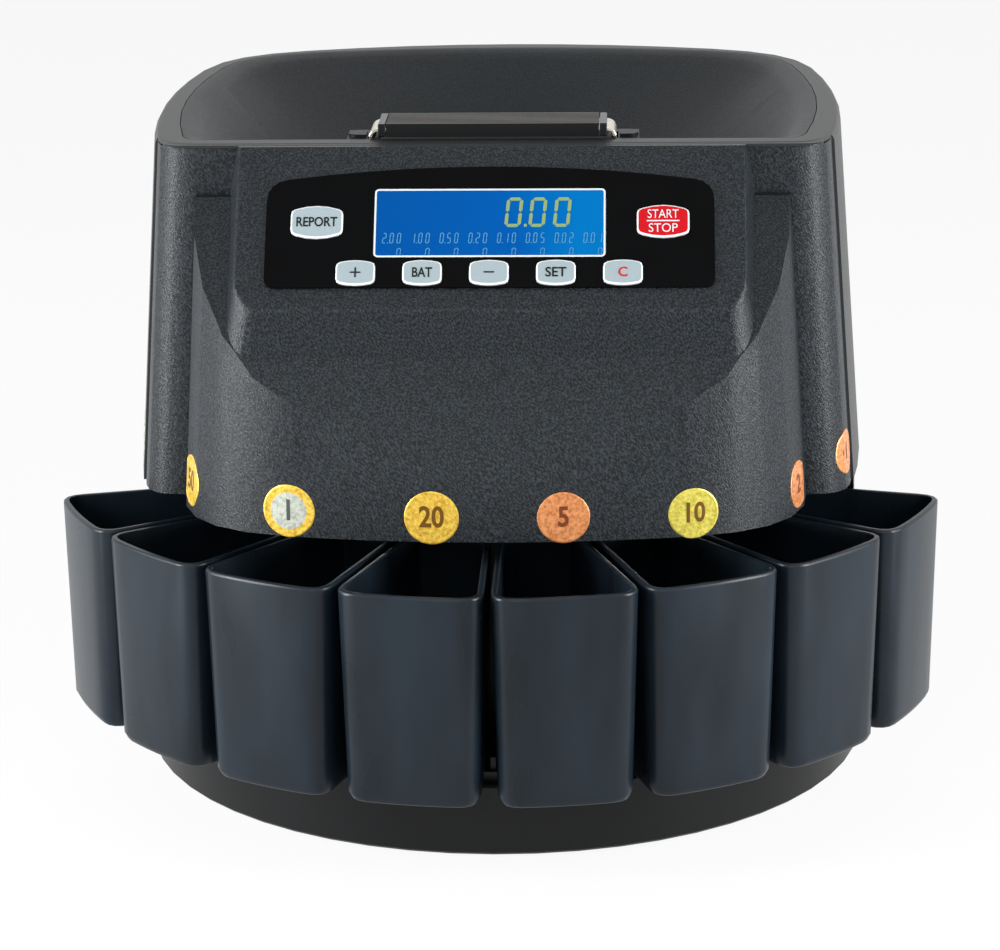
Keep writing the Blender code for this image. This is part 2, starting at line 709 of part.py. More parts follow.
def lower_housing():
    """One moulding behind the cups: outer walls, end walls along the fan and the drum."""
    low, high = PAN_TOP_Z + GAP, SEAM_Z
    plans = [ring(lower_plan(low), low), ring(lower_plan(high), high)]
    housing = piece("lower_housing", mesh_of("lower_housing", loft(plans)),
                    finish("lower_plastic", "#2b2d2f", 0.5), AXIS)
    wide = 2 * CUP_RADIUS
    spread = FAN_HALF + FAN_MARGIN
    cut(housing, tool("cup_space", fan_wedge(spread, wide, low - OVERRUN, high + OVERRUN), AXIS))
    fuse(housing, tool("drum", rod(DRUM_RADIUS, low, high, segments=64), AXIS))
    inner = tool("lower_hollow", loft([ring(lower_plan(low, -WALL), low - OVERRUN),
                                       ring(lower_plan(high, -WALL), high + OVERRUN)]), AXIS)
    wedge = fan_wedge(spread, wide, low - 2 * OVERRUN, high + 2 * OVERRUN)
    wedge_body = tool("inner_cup_space", wedge, AXIS)
    wedge_body.location.y = WALL / math.sin(spread)
    cut(inner, wedge_body)
    drum = rod(DRUM_RADIUS - DRUM_WALL, low - OVERRUN, high + OVERRUN, segments=64)
    fuse(inner, tool("drum_hollow", drum, AXIS))
    cut(housing, inner)
    rear_panel(housing)


REAR_PANEL_Y = REAR_Y - REAR_PANEL_SINK
REAR_PANEL_Z = PAN_TOP_Z + REAR_PANEL_LOW
REAR_MIDDLE_Z = REAR_PANEL_Z + REAR_PANEL_HEIGHT / 2


def rear_panel(housing):
    """A flat recess low in the back wall, with holes for inlet, switch and port."""
    half, top = REAR_PANEL_HALF, REAR_PANEL_Z + REAR_PANEL_HEIGHT
    fuse(housing, tool("rear_panel", box((-half - WALL, REAR_PANEL_Y - WALL, REAR_PANEL_Z - WALL),
                                         (half + WALL, REAR_PANEL_Y, top + WALL)), AXIS))
    cut(housing, tool("rear_recess", box((-half, REAR_PANEL_Y, REAR_PANEL_Z), (half, REAR_Y + OVERRUN, top)), AXIS))
    holes = bmesh.new()
    switch_half = SWITCH_RADIUS + SWITCH_WALL + 2 * GAP
    sizes = ((INLET_PLACE, INLET_WIDTH / 2, INLET_HEIGHT / 2),
             (SWITCH_PLACE, SWITCH_WIDTH / 2 + SWITCH_WALL + GAP, switch_half),
             (PORT_PLACE, PORT_WIDTH / 2, PORT_HEIGHT / 2))
    for place, half_width, half_height in sizes:
        box((place - half_width - GAP, REAR_PANEL_Y - WALL - OVERRUN / 2, REAR_MIDDLE_Z - half_height - GAP),
            (place + half_width + GAP, REAR_PANEL_Y + OVERRUN / 2, REAR_MIDDLE_Z + half_height + GAP), holes)
    cut(housing, tool("rear_holes", holes, AXIS))


def mains_inlet():
    """The mains socket: a body through the back wall, a rim outside it, three pins."""
    outside = REAR_PANEL_Y + GAP + INLET_RIM
    inside = REAR_PANEL_Y - INLET_DEPTH
    half, tall = INLET_WIDTH / 2, INLET_HEIGHT / 2
    place, z = INLET_PLACE, REAR_MIDDLE_Z
    body = box((place - half, inside, z - tall), (place + half, REAR_PANEL_Y + INLET_RIM / 2, z + tall))
    inlet = piece("mains_inlet", mesh_of("mains_inlet", body), finish("inlet_plastic", "#17181a", 0.45), AXIS)
    rim = box((place - half - INLET_RIM, REAR_PANEL_Y + GAP, z - tall - INLET_RIM),
              (place + half + INLET_RIM, outside, z + tall + INLET_RIM))
    fuse(inlet, tool("inlet_rim", rim, AXIS))
    wall = INLET_RIM
    socket = box((place - half + wall, inside + wall, z - tall + wall),
                 (place + half - wall, outside + OVERRUN, z + tall - wall))
    cut(inlet, tool("inlet_socket", socket, AXIS))
    pins = bmesh.new()
    for side, rise in ((-1, -PIN_WIDTH), (0, PIN_WIDTH), (1, -PIN_WIDTH)):
        middle = place + side * PIN_PITCH
        box((middle - PIN_WIDTH / 2, inside + wall / 2, z + rise - PIN_HEIGHT / 2),
            (middle + PIN_WIDTH / 2, inside + wall + PIN_LENGTH, z + rise + PIN_HEIGHT / 2), pins)
    fuse(inlet, tool("inlet_pins", pins, AXIS))


def power_switch():
    """The switch frame and the rocker that tips in it."""
    place, z = SWITCH_PLACE, REAR_MIDDLE_Z
    half, tall = SWITCH_WIDTH / 2, SWITCH_RADIUS + GAP
    pivot_y = REAR_PANEL_Y - SWITCH_WALL
    outer_half, outer_tall = half + SWITCH_WALL, tall + SWITCH_WALL
    outside = REAR_PANEL_Y + GAP + SWITCH_WALL
    body = box((place - outer_half, pivot_y - SWITCH_DEPTH, z - outer_tall),
               (place + outer_half, REAR_PANEL_Y + SWITCH_WALL / 2, z + outer_tall))
    plastic = finish("switch_plastic", "#17181a", 0.4)
    switch = piece("switch_frame", mesh_of("switch_frame", body), plastic, AXIS)
    rim = box((place - outer_half - SWITCH_WALL, REAR_PANEL_Y + GAP, z - outer_tall - SWITCH_WALL),
              (place + outer_half + SWITCH_WALL, outside, z + outer_tall + SWITCH_WALL))
    fuse(switch, tool("switch_rim", rim, AXIS))
    floor_y = pivot_y - SWITCH_DEPTH + SWITCH_WALL
    cut(switch, tool("switch_well", box((place - half, floor_y, z - tall),
                                        (place + half, outside + OVERRUN, z + tall)), AXIS))
    radius, waist = SWITCH_RADIUS, SWITCH_RADIUS / 2
    arc = [math.radians(35) + math.radians(40) * step / 3 for step in range(4)]
    upper = [Vector((radius * math.cos(angle), radius * math.sin(angle))) for angle in arc]
    lower = [Vector((point.x, -point.y)) for point in reversed(upper)]
    side = lower + [Vector((waist, 0))] + upper + [Vector((-waist, waist)), Vector((-waist, -waist))]
    tipped = Matrix.Rotation(-SWITCH_THROW / 2, 2)
    side = [tipped @ point for point in side]
    width = half - GAP
    faces = [[Vector((across, point.x, point.y)) for point in side] for across in (-width, width)]
    piece("power_rocker", mesh_of("power_rocker", loft(faces)), plastic, AXIS, (place, pivot_y, z))


def data_port():
    """A socket for a printer or display lead."""
    place, z = PORT_PLACE, REAR_MIDDLE_Z
    half, tall = PORT_WIDTH / 2, PORT_HEIGHT / 2
    body = box((place - half, REAR_PANEL_Y - PORT_DEPTH, z - tall), (place + half, REAR_PANEL_Y + GAP, z + tall))
    port = piece("data_port", mesh_of("data_port", body), finish("port_plastic", "#202225", 0.5), AXIS)
    socket = box((place - half + PORT_WALL, REAR_PANEL_Y - PORT_DEPTH + PORT_WALL, z - tall + PORT_WALL),
                 (place + half - PORT_WALL, REAR_PANEL_Y + OVERRUN, z + tall - PORT_WALL))
    cut(port, tool("port_socket", socket, AXIS))


def power_supply():
    """The mains transformer: a laminated core with its coil through the middle."""
    low = PAN_TOP_Z + GAP
    y = MOTOR_Y
    core = box((CORE_PLACE - CORE_WIDTH / 2, y - CORE_DEPTH / 2, low),
               (CORE_PLACE + CORE_WIDTH / 2, y + CORE_DEPTH / 2, low + CORE_HEIGHT))
    supply = piece("power_supply", mesh_of("power_supply", core), finish("core_steel", "#4a4d52", 0.5, 0.6), AXIS)
    inner, depth = CORE_WIDTH / 2 - COIL_MARGIN, CORE_DEPTH / 2 + COIL_BULGE
    corners = ((-inner, -depth), (inner, -depth), (inner, depth), (-inner, depth))
    plan = outline(corners, (0, 0, 0, 0), (COIL_BULGE / 2,) * 4, (1, 1, 1, 1), 3)
    plan = [point + Vector((CORE_PLACE, y)) for point in plan]
    fuse(supply, tool("coil", prism(plan, low + COIL_MARGIN, low + CORE_HEIGHT - COIL_MARGIN), AXIS))


def sorting_deck():
    """The floor of the upper housing, with a coin window and spout over each cup."""
    steel = finish("deck_plastic", "#33363a", 0.5)
    margin = -WALL - GAP
    rear = prism(body_plan(DECK_Z, margin), DECK_Z - OVERRUN, DECK_TOP_Z + OVERRUN)
    deck = piece("sorting_deck", mesh_of("sorting_deck", rear), steel, AXIS)
    reach = 2 * BODY_HALF_FRONT
    front_cut = box((-reach, -reach, DECK_Z - 2 * OVERRUN), (reach, PANEL_BACK, DECK_TOP_Z + 2 * OVERRUN))
    cut(deck, tool("deck_front_trim", front_cut, AXIS))
    bow = prism(bow_plan(DECK_Z, margin), DECK_Z - 3 * OVERRUN, DECK_TOP_Z + 3 * OVERRUN)
    fuse(deck, tool("deck_bow", bow, AXIS))
    keep(deck, tool("deck_slab", box((-reach, -reach, DECK_Z), (reach, reach, DECK_TOP_Z)), AXIS))
    ridge = sector(RAIL_RADIUS + RAIL_WIDTH / 3, RING_OUTER, 0, math.pi * 0.995, DECK_TOP_Z - WALL / 2,
                   RING_Z - GAP, 44)
    fuse(deck, tool("deck_ridge", ridge, AXIS))
    spouts, windows = bmesh.new(), bmesh.new()
    wider = WINDOW_SPREAD + SPOUT_WALL / RAIL_RADIUS
    for index in range(CUP_COUNT):
        middle = (index - (CUP_COUNT - 1) / 2) * CUP_PITCH
        sector(WINDOW_INNER - SPOUT_WALL, RAIL_RADIUS + SPOUT_WALL, middle, wider,
               DECK_Z - SPOUT_LENGTH, DECK_Z + DECK_THICKNESS / 3, 2, spouts)
        sector(WINDOW_INNER, RAIL_RADIUS, middle, WINDOW_SPREAD,
               DECK_Z - SPOUT_LENGTH - OVERRUN, RING_Z + OVERRUN, 2, windows)
    fuse(deck, tool("spouts", spouts, AXIS))
    cut(deck, tool("coin_windows", windows, AXIS))
    bore = rod(BEARING_RADIUS + GAP, DECK_Z - OVERRUN, DECK_TOP_Z + OVERRUN, segments=32)
    cut(deck, tool("bearing_seat", bore, AXIS))


def gauge_ring():
    """The steel ring that sorts: eight slots, each as wide as lets one coin size tip in."""
    profile = [(RING_OUTER, RING_TOP_Z), (RING_OUTER, RING_Z), (RING_INNER, RING_Z), (RING_INNER, RING_TOP_Z)]
    mesh, steps, on_axis = turned("gauge_ring", profile, 48, closed_on_axis=False)
    gauge = piece("gauge_ring", mesh, finish("gauge_steel", "#a8abad", 0.3, 1.0), AXIS)
    spin(gauge, steps, on_axis)
    slots = bmesh.new()
    for index, width in enumerate(SLOT_WIDTHS):
        middle = (index - (CUP_COUNT - 1) / 2) * CUP_PITCH
        sector(RAIL_RADIUS - width, RAIL_RADIUS, middle, WINDOW_SPREAD,
               RING_Z - OVERRUN, RING_TOP_Z + OVERRUN, 2, slots)
    cut(gauge, tool("gauge_slots", slots, AXIS))


def coin_rail():
    """The round wall that the coins run along."""
    outer = RAIL_RADIUS + RAIL_WIDTH
    profile = [(outer, RAIL_Z + RAIL_HEIGHT), (outer, RAIL_Z), (RAIL_RADIUS, RAIL_Z),
               (RAIL_RADIUS, RAIL_Z + RAIL_HEIGHT)]
    mesh, steps, on_axis = turned("coin_rail", profile, 48, closed_on_axis=False)
    spin(piece("coin_rail", mesh, finish("rail_steel", "#9c9fa2", 0.3, 1.0), AXIS), steps, on_axis)


def sensor_bar():
    """The counting sensor, lying across the rail before the first slot."""
    low = RAIL_Z + RAIL_HEIGHT + GAP
    middle = RAIL_RADIUS + RAIL_WIDTH / 2
    body = box((-SENSOR_WIDTH / 2, -middle - SENSOR_DEPTH / 2, low),
               (SENSOR_WIDTH / 2, -middle + SENSOR_DEPTH / 2, low + SENSOR_HEIGHT))
    bar = piece("sensor_bar", mesh_of("sensor_bar", body), finish("sensor_plastic", "#1d2a24", 0.5), AXIS)
    bar.rotation_euler.z = -FAN_HALF - CUP_PITCH
    fuse_lens = rod(SENSOR_HEIGHT / 4, low + SENSOR_HEIGHT / 2, low + SENSOR_HEIGHT * 5 / 4,
                    (0, -middle), 12)
    lens = tool("sensor_dome", fuse_lens, AXIS)
    lens.rotation_euler.z = bar.rotation_euler.z
    fuse(bar, lens)


def feed_disc():
    """The turning disc: a flat plate with a raised hub and drive ribs."""
    profile = [(0, DISC_TOP_Z + HUB_HEIGHT), (HUB_RADIUS / 3, DISC_TOP_Z + HUB_HEIGHT),
               (HUB_RADIUS * 2 / 3, DISC_TOP_Z + HUB_HEIGHT * 3 / 4), (HUB_RADIUS, DISC_TOP_Z),
               (FEED_RADIUS - GAP, DISC_TOP_Z), (FEED_RADIUS, DISC_TOP_Z - GAP), (FEED_RADIUS, DISC_Z),
               (SPINDLE_RADIUS + GAP, DISC_Z), (SPINDLE_RADIUS + GAP, DISC_TOP_Z + HUB_HEIGHT / 2),
               (0, DISC_TOP_Z + HUB_HEIGHT / 2)]
    mesh, steps, on_axis = turned("feed_disc", profile, 40)
    disc = piece("feed_disc", mesh, finish("disc_plastic", "#5d6266", 0.4), AXIS)
    spin(disc, steps, on_axis)
    ribs = bmesh.new()
    for index in range(DISC_RIBS):
        turn = math.tau * index / DISC_RIBS
        half = DISC_RIB_WIDTH / 2
        along, across = polar(1, turn), polar(1, turn + math.pi / 2)
        near, far = HUB_RADIUS + half, FEED_RADIUS - half
        points = [along * near - across * half, along * far - across * half,
                  along * far + across * half, along * near + across * half]
        prism(points, DISC_TOP_Z - DISC_THICKNESS / 2, DISC_TOP_Z + DISC_RIB_HEIGHT, ribs)
    fuse(disc, tool("disc_ribs", ribs, AXIS))


def spindle():
    """The shaft that carries disc and gear, and its flanged bearing in the deck."""
    top = DISC_TOP_Z + HUB_HEIGHT / 2 - GAP
    low = top - SPINDLE_LENGTH
    bevel = SPINDLE_RADIUS / 5
    profile = [(0, top), (SPINDLE_RADIUS - bevel, top), (SPINDLE_RADIUS, top - bevel),
               (SPINDLE_RADIUS, low + bevel), (SPINDLE_RADIUS - bevel, low), (0, low)]
    mesh, steps, on_axis = turned("disc_spindle", profile, 24)
    spin(piece("disc_spindle", mesh, finish("spindle_steel", "#b4b7ba", 0.25, 1.0), AXIS), steps, on_axis)
    bore, flange_z = SPINDLE_RADIUS + GAP, DECK_Z - GAP
    profile = [(BEARING_RADIUS, BEARING_TOP_Z), (BEARING_RADIUS, flange_z), (BEARING_FLANGE, flange_z),
               (BEARING_FLANGE, BEARING_FOOT_Z), (bore, BEARING_FOOT_Z), (bore, BEARING_TOP_Z)]
    mesh, steps, on_axis = turned("spindle_bearing", profile, 32, closed_on_axis=False)
    spin(piece("spindle_bearing", mesh, finish("bearing_bronze", "#9a7b4a", 0.35, 1.0), AXIS), steps, on_axis)


def gear_plan(teeth, centre_y, phase):
    """A spur gear's outline: three points up each flank follow the involute."""
    pitch = GEAR_MODULE * teeth / 2
    base = pitch * math.cos(PRESSURE_ANGLE)
    root, tip = pitch - GEAR_MODULE * 1.2, pitch + GEAR_MODULE * 0.9
    half_tooth = math.pi / teeth / 2 - GEAR_BACKLASH / pitch
    lean = math.tan(PRESSURE_ANGLE) - PRESSURE_ANGLE

    def flank(radius):
        if radius <= base:
            return half_tooth + lean
        unroll = math.acos(base / radius)
        return half_tooth + lean - (math.tan(unroll) - unroll)

    points = []
    for index in range(teeth):
        middle = math.tau * index / teeth + phase
        rising = [(radius, -flank(radius)) for radius in (root, pitch, tip)]
        falling = [(radius, flank(radius)) for radius in (tip, pitch, root)]
        for radius, offset in rising + falling:
            points.append(polar(radius, middle + offset) + Vector((0, centre_y)))
    return points


def gears():
    """The disc's spur gear under the deck, and the motor's pinion behind it."""
    nylon = finish("gear_nylon", "#d8d4c6", 0.5)
    wheel = prism(gear_plan(GEAR_TEETH, 0, math.pi / GEAR_TEETH), GEAR_Z, GEAR_TOP_Z)
    gear = piece("spindle_gear", mesh_of("spindle_gear", wheel), nylon, AXIS)
    fuse(gear, tool("gear_hub", rod(BEARING_RADIUS, GEAR_Z + GEAR_WIDTH / 2, GEAR_TOP_Z + GEAR_WIDTH / 2,
                                    segments=24), AXIS))
    cut(gear, tool("gear_bore", rod(SPINDLE_RADIUS + GAP, GEAR_Z - OVERRUN, GEAR_TOP_Z + OVERRUN,
                                    segments=24), AXIS))
    low = MOTOR_TOP_Z + GAP
    wheel = prism(gear_plan(PINION_TEETH, 0, 0), GEAR_Z, GEAR_TOP_Z)
    pinion = piece("motor_pinion", mesh_of("motor_pinion", wheel), finish("pinion_brass", "#b08d4a", 0.35, 1.0),
                   AXIS, (0, MOTOR_Y, 0))
    shaft = tool("pinion_shaft", rod(PINION_SHAFT, low, GEAR_TOP_Z + GEAR_WIDTH / 3, segments=16), AXIS)
    shaft.location.y = MOTOR_Y
    fuse(pinion, shaft)


def motor_mount():
    """The motor, and the bracket that hangs it from the deck on four posts."""
    reach = MOTOR_RADIUS + BRACKET_POST
    near = MOTOR_Y - MOTOR_RADIUS - SPINDLE_RADIUS
    far = MOTOR_Y + reach
    plate = box((-BRACKET_SIDE - BRACKET_POST, near, BRACKET_Z), (BRACKET_SIDE + BRACKET_POST, far, BRACKET_TOP_Z))
    bracket = piece("motor_bracket", mesh_of("motor_bracket", plate), finish("bracket_steel", "#8f9498", 0.4, 0.9),
                    AXIS)
    posts = bmesh.new()
    for side in (-1, 1):
        for y in (near + BRACKET_POST, far - BRACKET_POST):
            rod(BRACKET_POST * 0.9, BRACKET_TOP_Z - WALL / 2, DECK_Z - GAP, (side * BRACKET_SIDE, y), 16, posts)
    fuse(bracket, tool("bracket_posts", posts, AXIS))
    cut(bracket, tool("shaft_hole", rod(PINION_SHAFT + 2 * GAP, BRACKET_Z - OVERRUN, BRACKET_TOP_Z + OVERRUN,
                                        (0, MOTOR_Y), 16), AXIS))
    low, top = MOTOR_TOP_Z - MOTOR_LENGTH, MOTOR_TOP_Z
    can = MOTOR_RADIUS - GAP
    profile = [(0, top), (MOTOR_RADIUS, top), (MOTOR_RADIUS, top - WALL), (can - WALL / 3, top - WALL),
               (can - WALL / 3, low + 2 * WALL), (can, low + 2 * WALL), (can, low + WALL / 2),
               (can - WALL / 2, low), (MOTOR_BOSS, low), (MOTOR_BOSS, low - WALL), (0, low - WALL)]
    mesh, steps, on_axis = turned("drive_motor", profile, 24)
    motor = piece("drive_motor", mesh, finish("motor_steel", "#7d8286", 0.35, 0.9), AXIS, (0, MOTOR_Y, 0))
    spin(motor, steps, on_axis)


def top_cover():
    """Sides, back and rim in one moulding, with a lip over the front panel."""
    rings = [ring(body_plan(BODY_FOOT_Z), BODY_FOOT_Z), ring(body_plan(RIM_Z - RIM_ROUND), RIM_Z - RIM_ROUND),
             ring(body_plan(RIM_Z, -RIM_ROUND * 0.3), RIM_Z - RIM_ROUND * 0.3),
             ring(body_plan(RIM_Z, -RIM_ROUND), RIM_Z)]
    cover = piece("top_cover", mesh_of("top_cover", loft(rings)), finish("cover_plastic", "#55585a", 0.55), AXIS)
    reach = 2 * BODY_HALF_FRONT
    front = box((-reach, -reach, BODY_FOOT_Z - OVERRUN), (reach, PANEL_BACK + GAP, LIP_Z + LIP_STEP))
    cut(cover, tool("cover_front_trim", front, AXIS))
    half = BODY_HALF_FRONT - BODY_DRAFT - LIP_INSET
    corners = ((-half, -BODY_FRONT - LIP_REACH), (half, -BODY_FRONT - LIP_REACH),
               (half, -BODY_FRONT + LIP_DEPTH), (-half, -BODY_FRONT + LIP_DEPTH))
    plan = outline(corners, (0,) * 4, (LIP_SETBACK, LIP_SETBACK, 0, 0), (1,) * 4, 4)
    edge = (LIP_THICKNESS - LIP_STEP) / 2
    top = RIM_Z - LIP_STEP
    lip = loft([ring(plan, LIP_Z), ring(plan, top - edge), ring(grown(plan, -edge), top)])
    fuse(cover, tool("front_lip", lip, AXIS))
    hollow = loft([ring(body_plan(BODY_FOOT_Z - OVERRUN, -WALL), BODY_FOOT_Z - OVERRUN),
                   ring(body_plan(RIM_Z - RIM_THICKNESS, -WALL), RIM_Z - RIM_THICKNESS)])
    cut(cover, tool("cover_hollow", hollow, AXIS))
    through = prism(grown(seam_plan(), -LEDGE_REACH), RIM_Z - RIM_THICKNESS - OVERRUN, RIM_Z + OVERRUN)
    cut(cover, tool("hopper_hole", through, AXIS))
    rebate = prism(grown(seam_plan(), GAP), FLANGE_Z - GAP, RIM_Z + 2 * OVERRUN)
    cut(cover, tool("hopper_rebate", rebate, AXIS))


def console_body(inset):
    """The key console as a prism across the front: low wall, sloping face, square back."""
    slope = math.tan(CONSOLE_TILT)
    front = CONSOLE_FRONT + inset
    fold_z = CONSOLE_FOLD_Z - inset / math.cos(CONSOLE_TILT) * (1 - math.sin(CONSOLE_TILT))
    top = CONSOLE_TOP_Z - inset
    back = PANEL_BACK - PANEL_DEPTH / 2 + inset
    side = [Vector((front, CONSOLE_FOOT_Z)), Vector((front, fold_z)),
            Vector((front + (top - fold_z) * slope, top)), Vector((back, top)),
            Vector((back, CONSOLE_FOOT_Z))]

    def half_width(point):
        depth = (point.x - front - (point.y - fold_z) * slope) * math.cos(CONSOLE_TILT)
        return CONSOLE_HALF - inset + CONSOLE_FLARE * depth

    ends = [[Vector((turn * half_width(point), point.x, point.y)) for point in side] for turn in (-1, 1)]
    shape = loft(ends)
    bmesh.ops.recalc_face_normals(shape, faces=shape.faces)
    return shape, front


def rounded_console(inset):
    """The console with its lower front corners and, outside, its face's edges rounded."""
    shape, front = console_body(inset)
    upright = [edge for edge in shape.edges
               if all(abs(vertex.co.y - front) < GAP / 10 for vertex in edge.verts)
               and abs(edge.verts[0].co.z - edge.verts[1].co.z) > GAP]
    bmesh.ops.bevel(shape, geom=upright, offset=CONSOLE_CORNER - inset, segments=5, profile=0.5,
                    affect="EDGES")
    if inset == 0:
        outward = Vector((0, -math.cos(CONSOLE_TILT), math.sin(CONSOLE_TILT)))
        shape.normal_update()
        faces = [face for face in shape.faces if face.normal.dot(outward) > math.cos(math.radians(1))]
        rim = {edge for face in faces for edge in face.edges
               if any(other.normal.dot(outward) < 0.98 for other in edge.link_faces)
               and max(vertex.co.z for vertex in edge.verts) - min(vertex.co.z for vertex in edge.verts)
               + abs(edge.verts[0].co.z - CONSOLE_TOP_Z) > GAP}
        bmesh.ops.bevel(shape, geom=list(rim), offset=CONSOLE_EDGE, segments=2, profile=0.5, affect="EDGES")
    return shape


def recess_block(inset, reach):
    """The space in front of the recess, which leans back more towards its top, moved back by inset."""
    nose = Vector((-BOW_FRONT - BOW_BULGE, RECESS_Z))
    lean = Vector((math.tan(RECESS_TILT), 1))
    start = nose + lean * RECESS_STRAIGHT
    end = Vector((-BODY_FRONT + PANEL_INSET - RECESS_STAND, BOW_TOP_Z))
    side = [nose] + bend(start, start + lean * RECESS_BEND, end, 4) + [Vector((end.x, RIM_Z + OVERRUN))]
    back = inset / math.cos(RECESS_TILT)
    side = [point + Vector((back, 0)) for point in side]
    side += [Vector((-reach, RIM_Z + OVERRUN)), Vector((-reach, RECESS_Z))]
    block = loft([[Vector((across, point.x, point.y)) for point in side] for across in (-reach, reach)])
    bmesh.ops.recalc_face_normals(block, faces=block.faces)
    return block


def front_panel():
    """The grained front moulding: two columns, the bow with its recess, and the key console."""
    rings = [ring(body_plan(BODY_FOOT_Z, -PANEL_INSET), BODY_FOOT_Z),
             ring(body_plan(RIM_Z, -PANEL_INSET), RIM_Z)]
    panel = piece("front_panel", mesh_of("front_panel", loft(rings)), finish("panel_plastic", "#2a2d30", 0.5), AXIS)
    bow = loft([ring(bow_plan(BODY_FOOT_Z), BODY_FOOT_Z), ring(bow_plan(BOW_TOP_Z), BOW_TOP_Z)])
    reach = 2 * BODY_HALF_FRONT
    fuse(panel, tool("bow", bow, AXIS))
    back = box((-reach, PANEL_BACK, BODY_FOOT_Z - OVERRUN), (reach, reach, RIM_Z + OVERRUN))
    cut(panel, tool("panel_back_trim", back, AXIS))
    cut(panel, tool("recess", recess_block(0, reach), AXIS))
    fuse(panel, tool("console", rounded_console(0), AXIS))
    body_hollow = loft([ring(body_plan(BODY_FOOT_Z - OVERRUN, -PANEL_INSET - WALL), BODY_FOOT_Z - OVERRUN),
                        ring(body_plan(RIM_Z, -PANEL_INSET - WALL), RIM_Z)])
    cut(panel, tool("panel_hollow", body_hollow, AXIS))
    cut(panel, tool("console_hollow", rounded_console(WALL), AXIS))
    bow_hollow = tool("bow_hollow", loft([ring(bow_plan(BODY_FOOT_Z - OVERRUN, -WALL), BODY_FOOT_Z - OVERRUN),
                                          ring(bow_plan(BOW_TOP_Z, -WALL), BOW_TOP_Z - WALL)]), AXIS)
    cut(bow_hollow, tool("recess_inside", recess_block(WALL, 1.1 * reach), AXIS))
    cut(panel, bow_hollow)
    board_posts = bmesh.new()
    for u in (-1, 1):
        for v in (BOARD_FOOT + 2 * BOARD_POST, BOARD_TOP - 2 * BOARD_POST):
            rod(BOARD_POST, BOARD_Z + GAP, -WALL / 2, (u * (BOARD_HALF - 1.5 * BOARD_POST), v), 12, board_posts)
    fuse(panel, tool("board_posts", board_posts, FACE))
    cut(panel, tool("panel_openings", console_openings(), FACE))
    lip_room = box((-reach, -BODY_FRONT - LIP_REACH - GAP, PANEL_TOP_Z), (reach, reach, RIM_Z + OVERRUN))
    cut(panel, tool("lip_room", lip_room, AXIS))


BOARD_Z = -KEY_DEPTH - KEY_TRAVEL - GAP
BOARD_FOOT = OVERLAY_FOOT
BOARD_TOP = OVERLAY_SHOULDER
OVERLAY_Z = GAP
OVERLAY_TOP = OVERLAY_Z + OVERLAY_THICKNESS
LARGE_KEY = (LARGE_KEY_WIDTH, LARGE_KEY_END, LARGE_KEY_BULGE, KEY_CORNER)
SMALL_KEY = (SMALL_KEY_WIDTH, SMALL_KEY_END, SMALL_KEY_BULGE, KEY_CORNER)
KEYS = [("key_report", LARGE_KEY, (-LARGE_KEY_OFFSET, LARGE_KEY_ROW)),
        ("key_start", LARGE_KEY, (LARGE_KEY_OFFSET, LARGE_KEY_ROW))]
KEYS += [(f"key_{label}", SMALL_KEY, ((index - 2) * SMALL_KEY_PITCH, SMALL_KEY_ROW))
         for index, label in enumerate(("plus", "batch", "minus", "set", "clear"))]


def window_plan(grow=0.0):
    """The display window's outline on the console face."""
    top = WINDOW_FOOT + WINDOW_HEIGHT
    corners = ((-WINDOW_HALF, WINDOW_FOOT), (WINDOW_HALF, WINDOW_FOOT), (WINDOW_HALF, top), (-WINDOW_HALF, top))
    return grown(outline(corners, (0,) * 4, (WINDOW_CORNER,) * 4, (1,) * 4, 3), grow)


def console_openings():
    """Holes through the console wall and overlay for the keys and the window."""
    holes = bmesh.new()
    for label, size, centre in KEYS:
        prism(grown(barrel(*size, centre), GAP), -WALL - OVERRUN / 4, OVERRUN, holes)
    return prism(window_plan(GAP), -WALL - OVERRUN / 4, OVERRUN, holes)


def keypad():
    """The gloss overlay with its arched top, the clear window and the seven keys."""
    corners = ((-OVERLAY_HALF, OVERLAY_FOOT), (OVERLAY_HALF, OVERLAY_FOOT),
               (OVERLAY_HALF, OVERLAY_SHOULDER), (-OVERLAY_HALF, OVERLAY_SHOULDER))
    corner = OVERLAY_CORNER
    plan = outline(corners, (0, 0, OVERLAY_BULGE, 0), (corner / 2, corner / 2, corner, corner), (1, 1, 10, 1), 4)
    film = prism(plan, OVERLAY_Z, OVERLAY_TOP)
    overlay = piece("keypad_overlay", mesh_of("keypad_overlay", film), finish("overlay_film", "#0b0d0e", 0.12), FACE)
    cut(overlay, tool("overlay_openings", console_openings(), FACE))
    glass = prism(window_plan(), -WALL + GAP, OVERLAY_TOP)
    piece("display_window", mesh_of("display_window", glass), finish("window_clear", "#9fb4c8", 0.08), FACE)
    light, red = finish("key_light", "#c0cdd2", 0.35), finish("key_red", "#e0202a", 0.35)
    for label, size, (u, v) in KEYS:
        edge = KEY_STAND / 2
        top = OVERLAY_TOP + KEY_STAND
        plan = barrel(*size, (0, 0))
        shape = loft([ring(plan, -KEY_DEPTH), ring(plan, top - edge), ring(grown(plan, -edge), top)])
        colour = red if label == "key_start" else light
        piece(label, mesh_of(label, shape), colour, FACE, (u, v, 0))


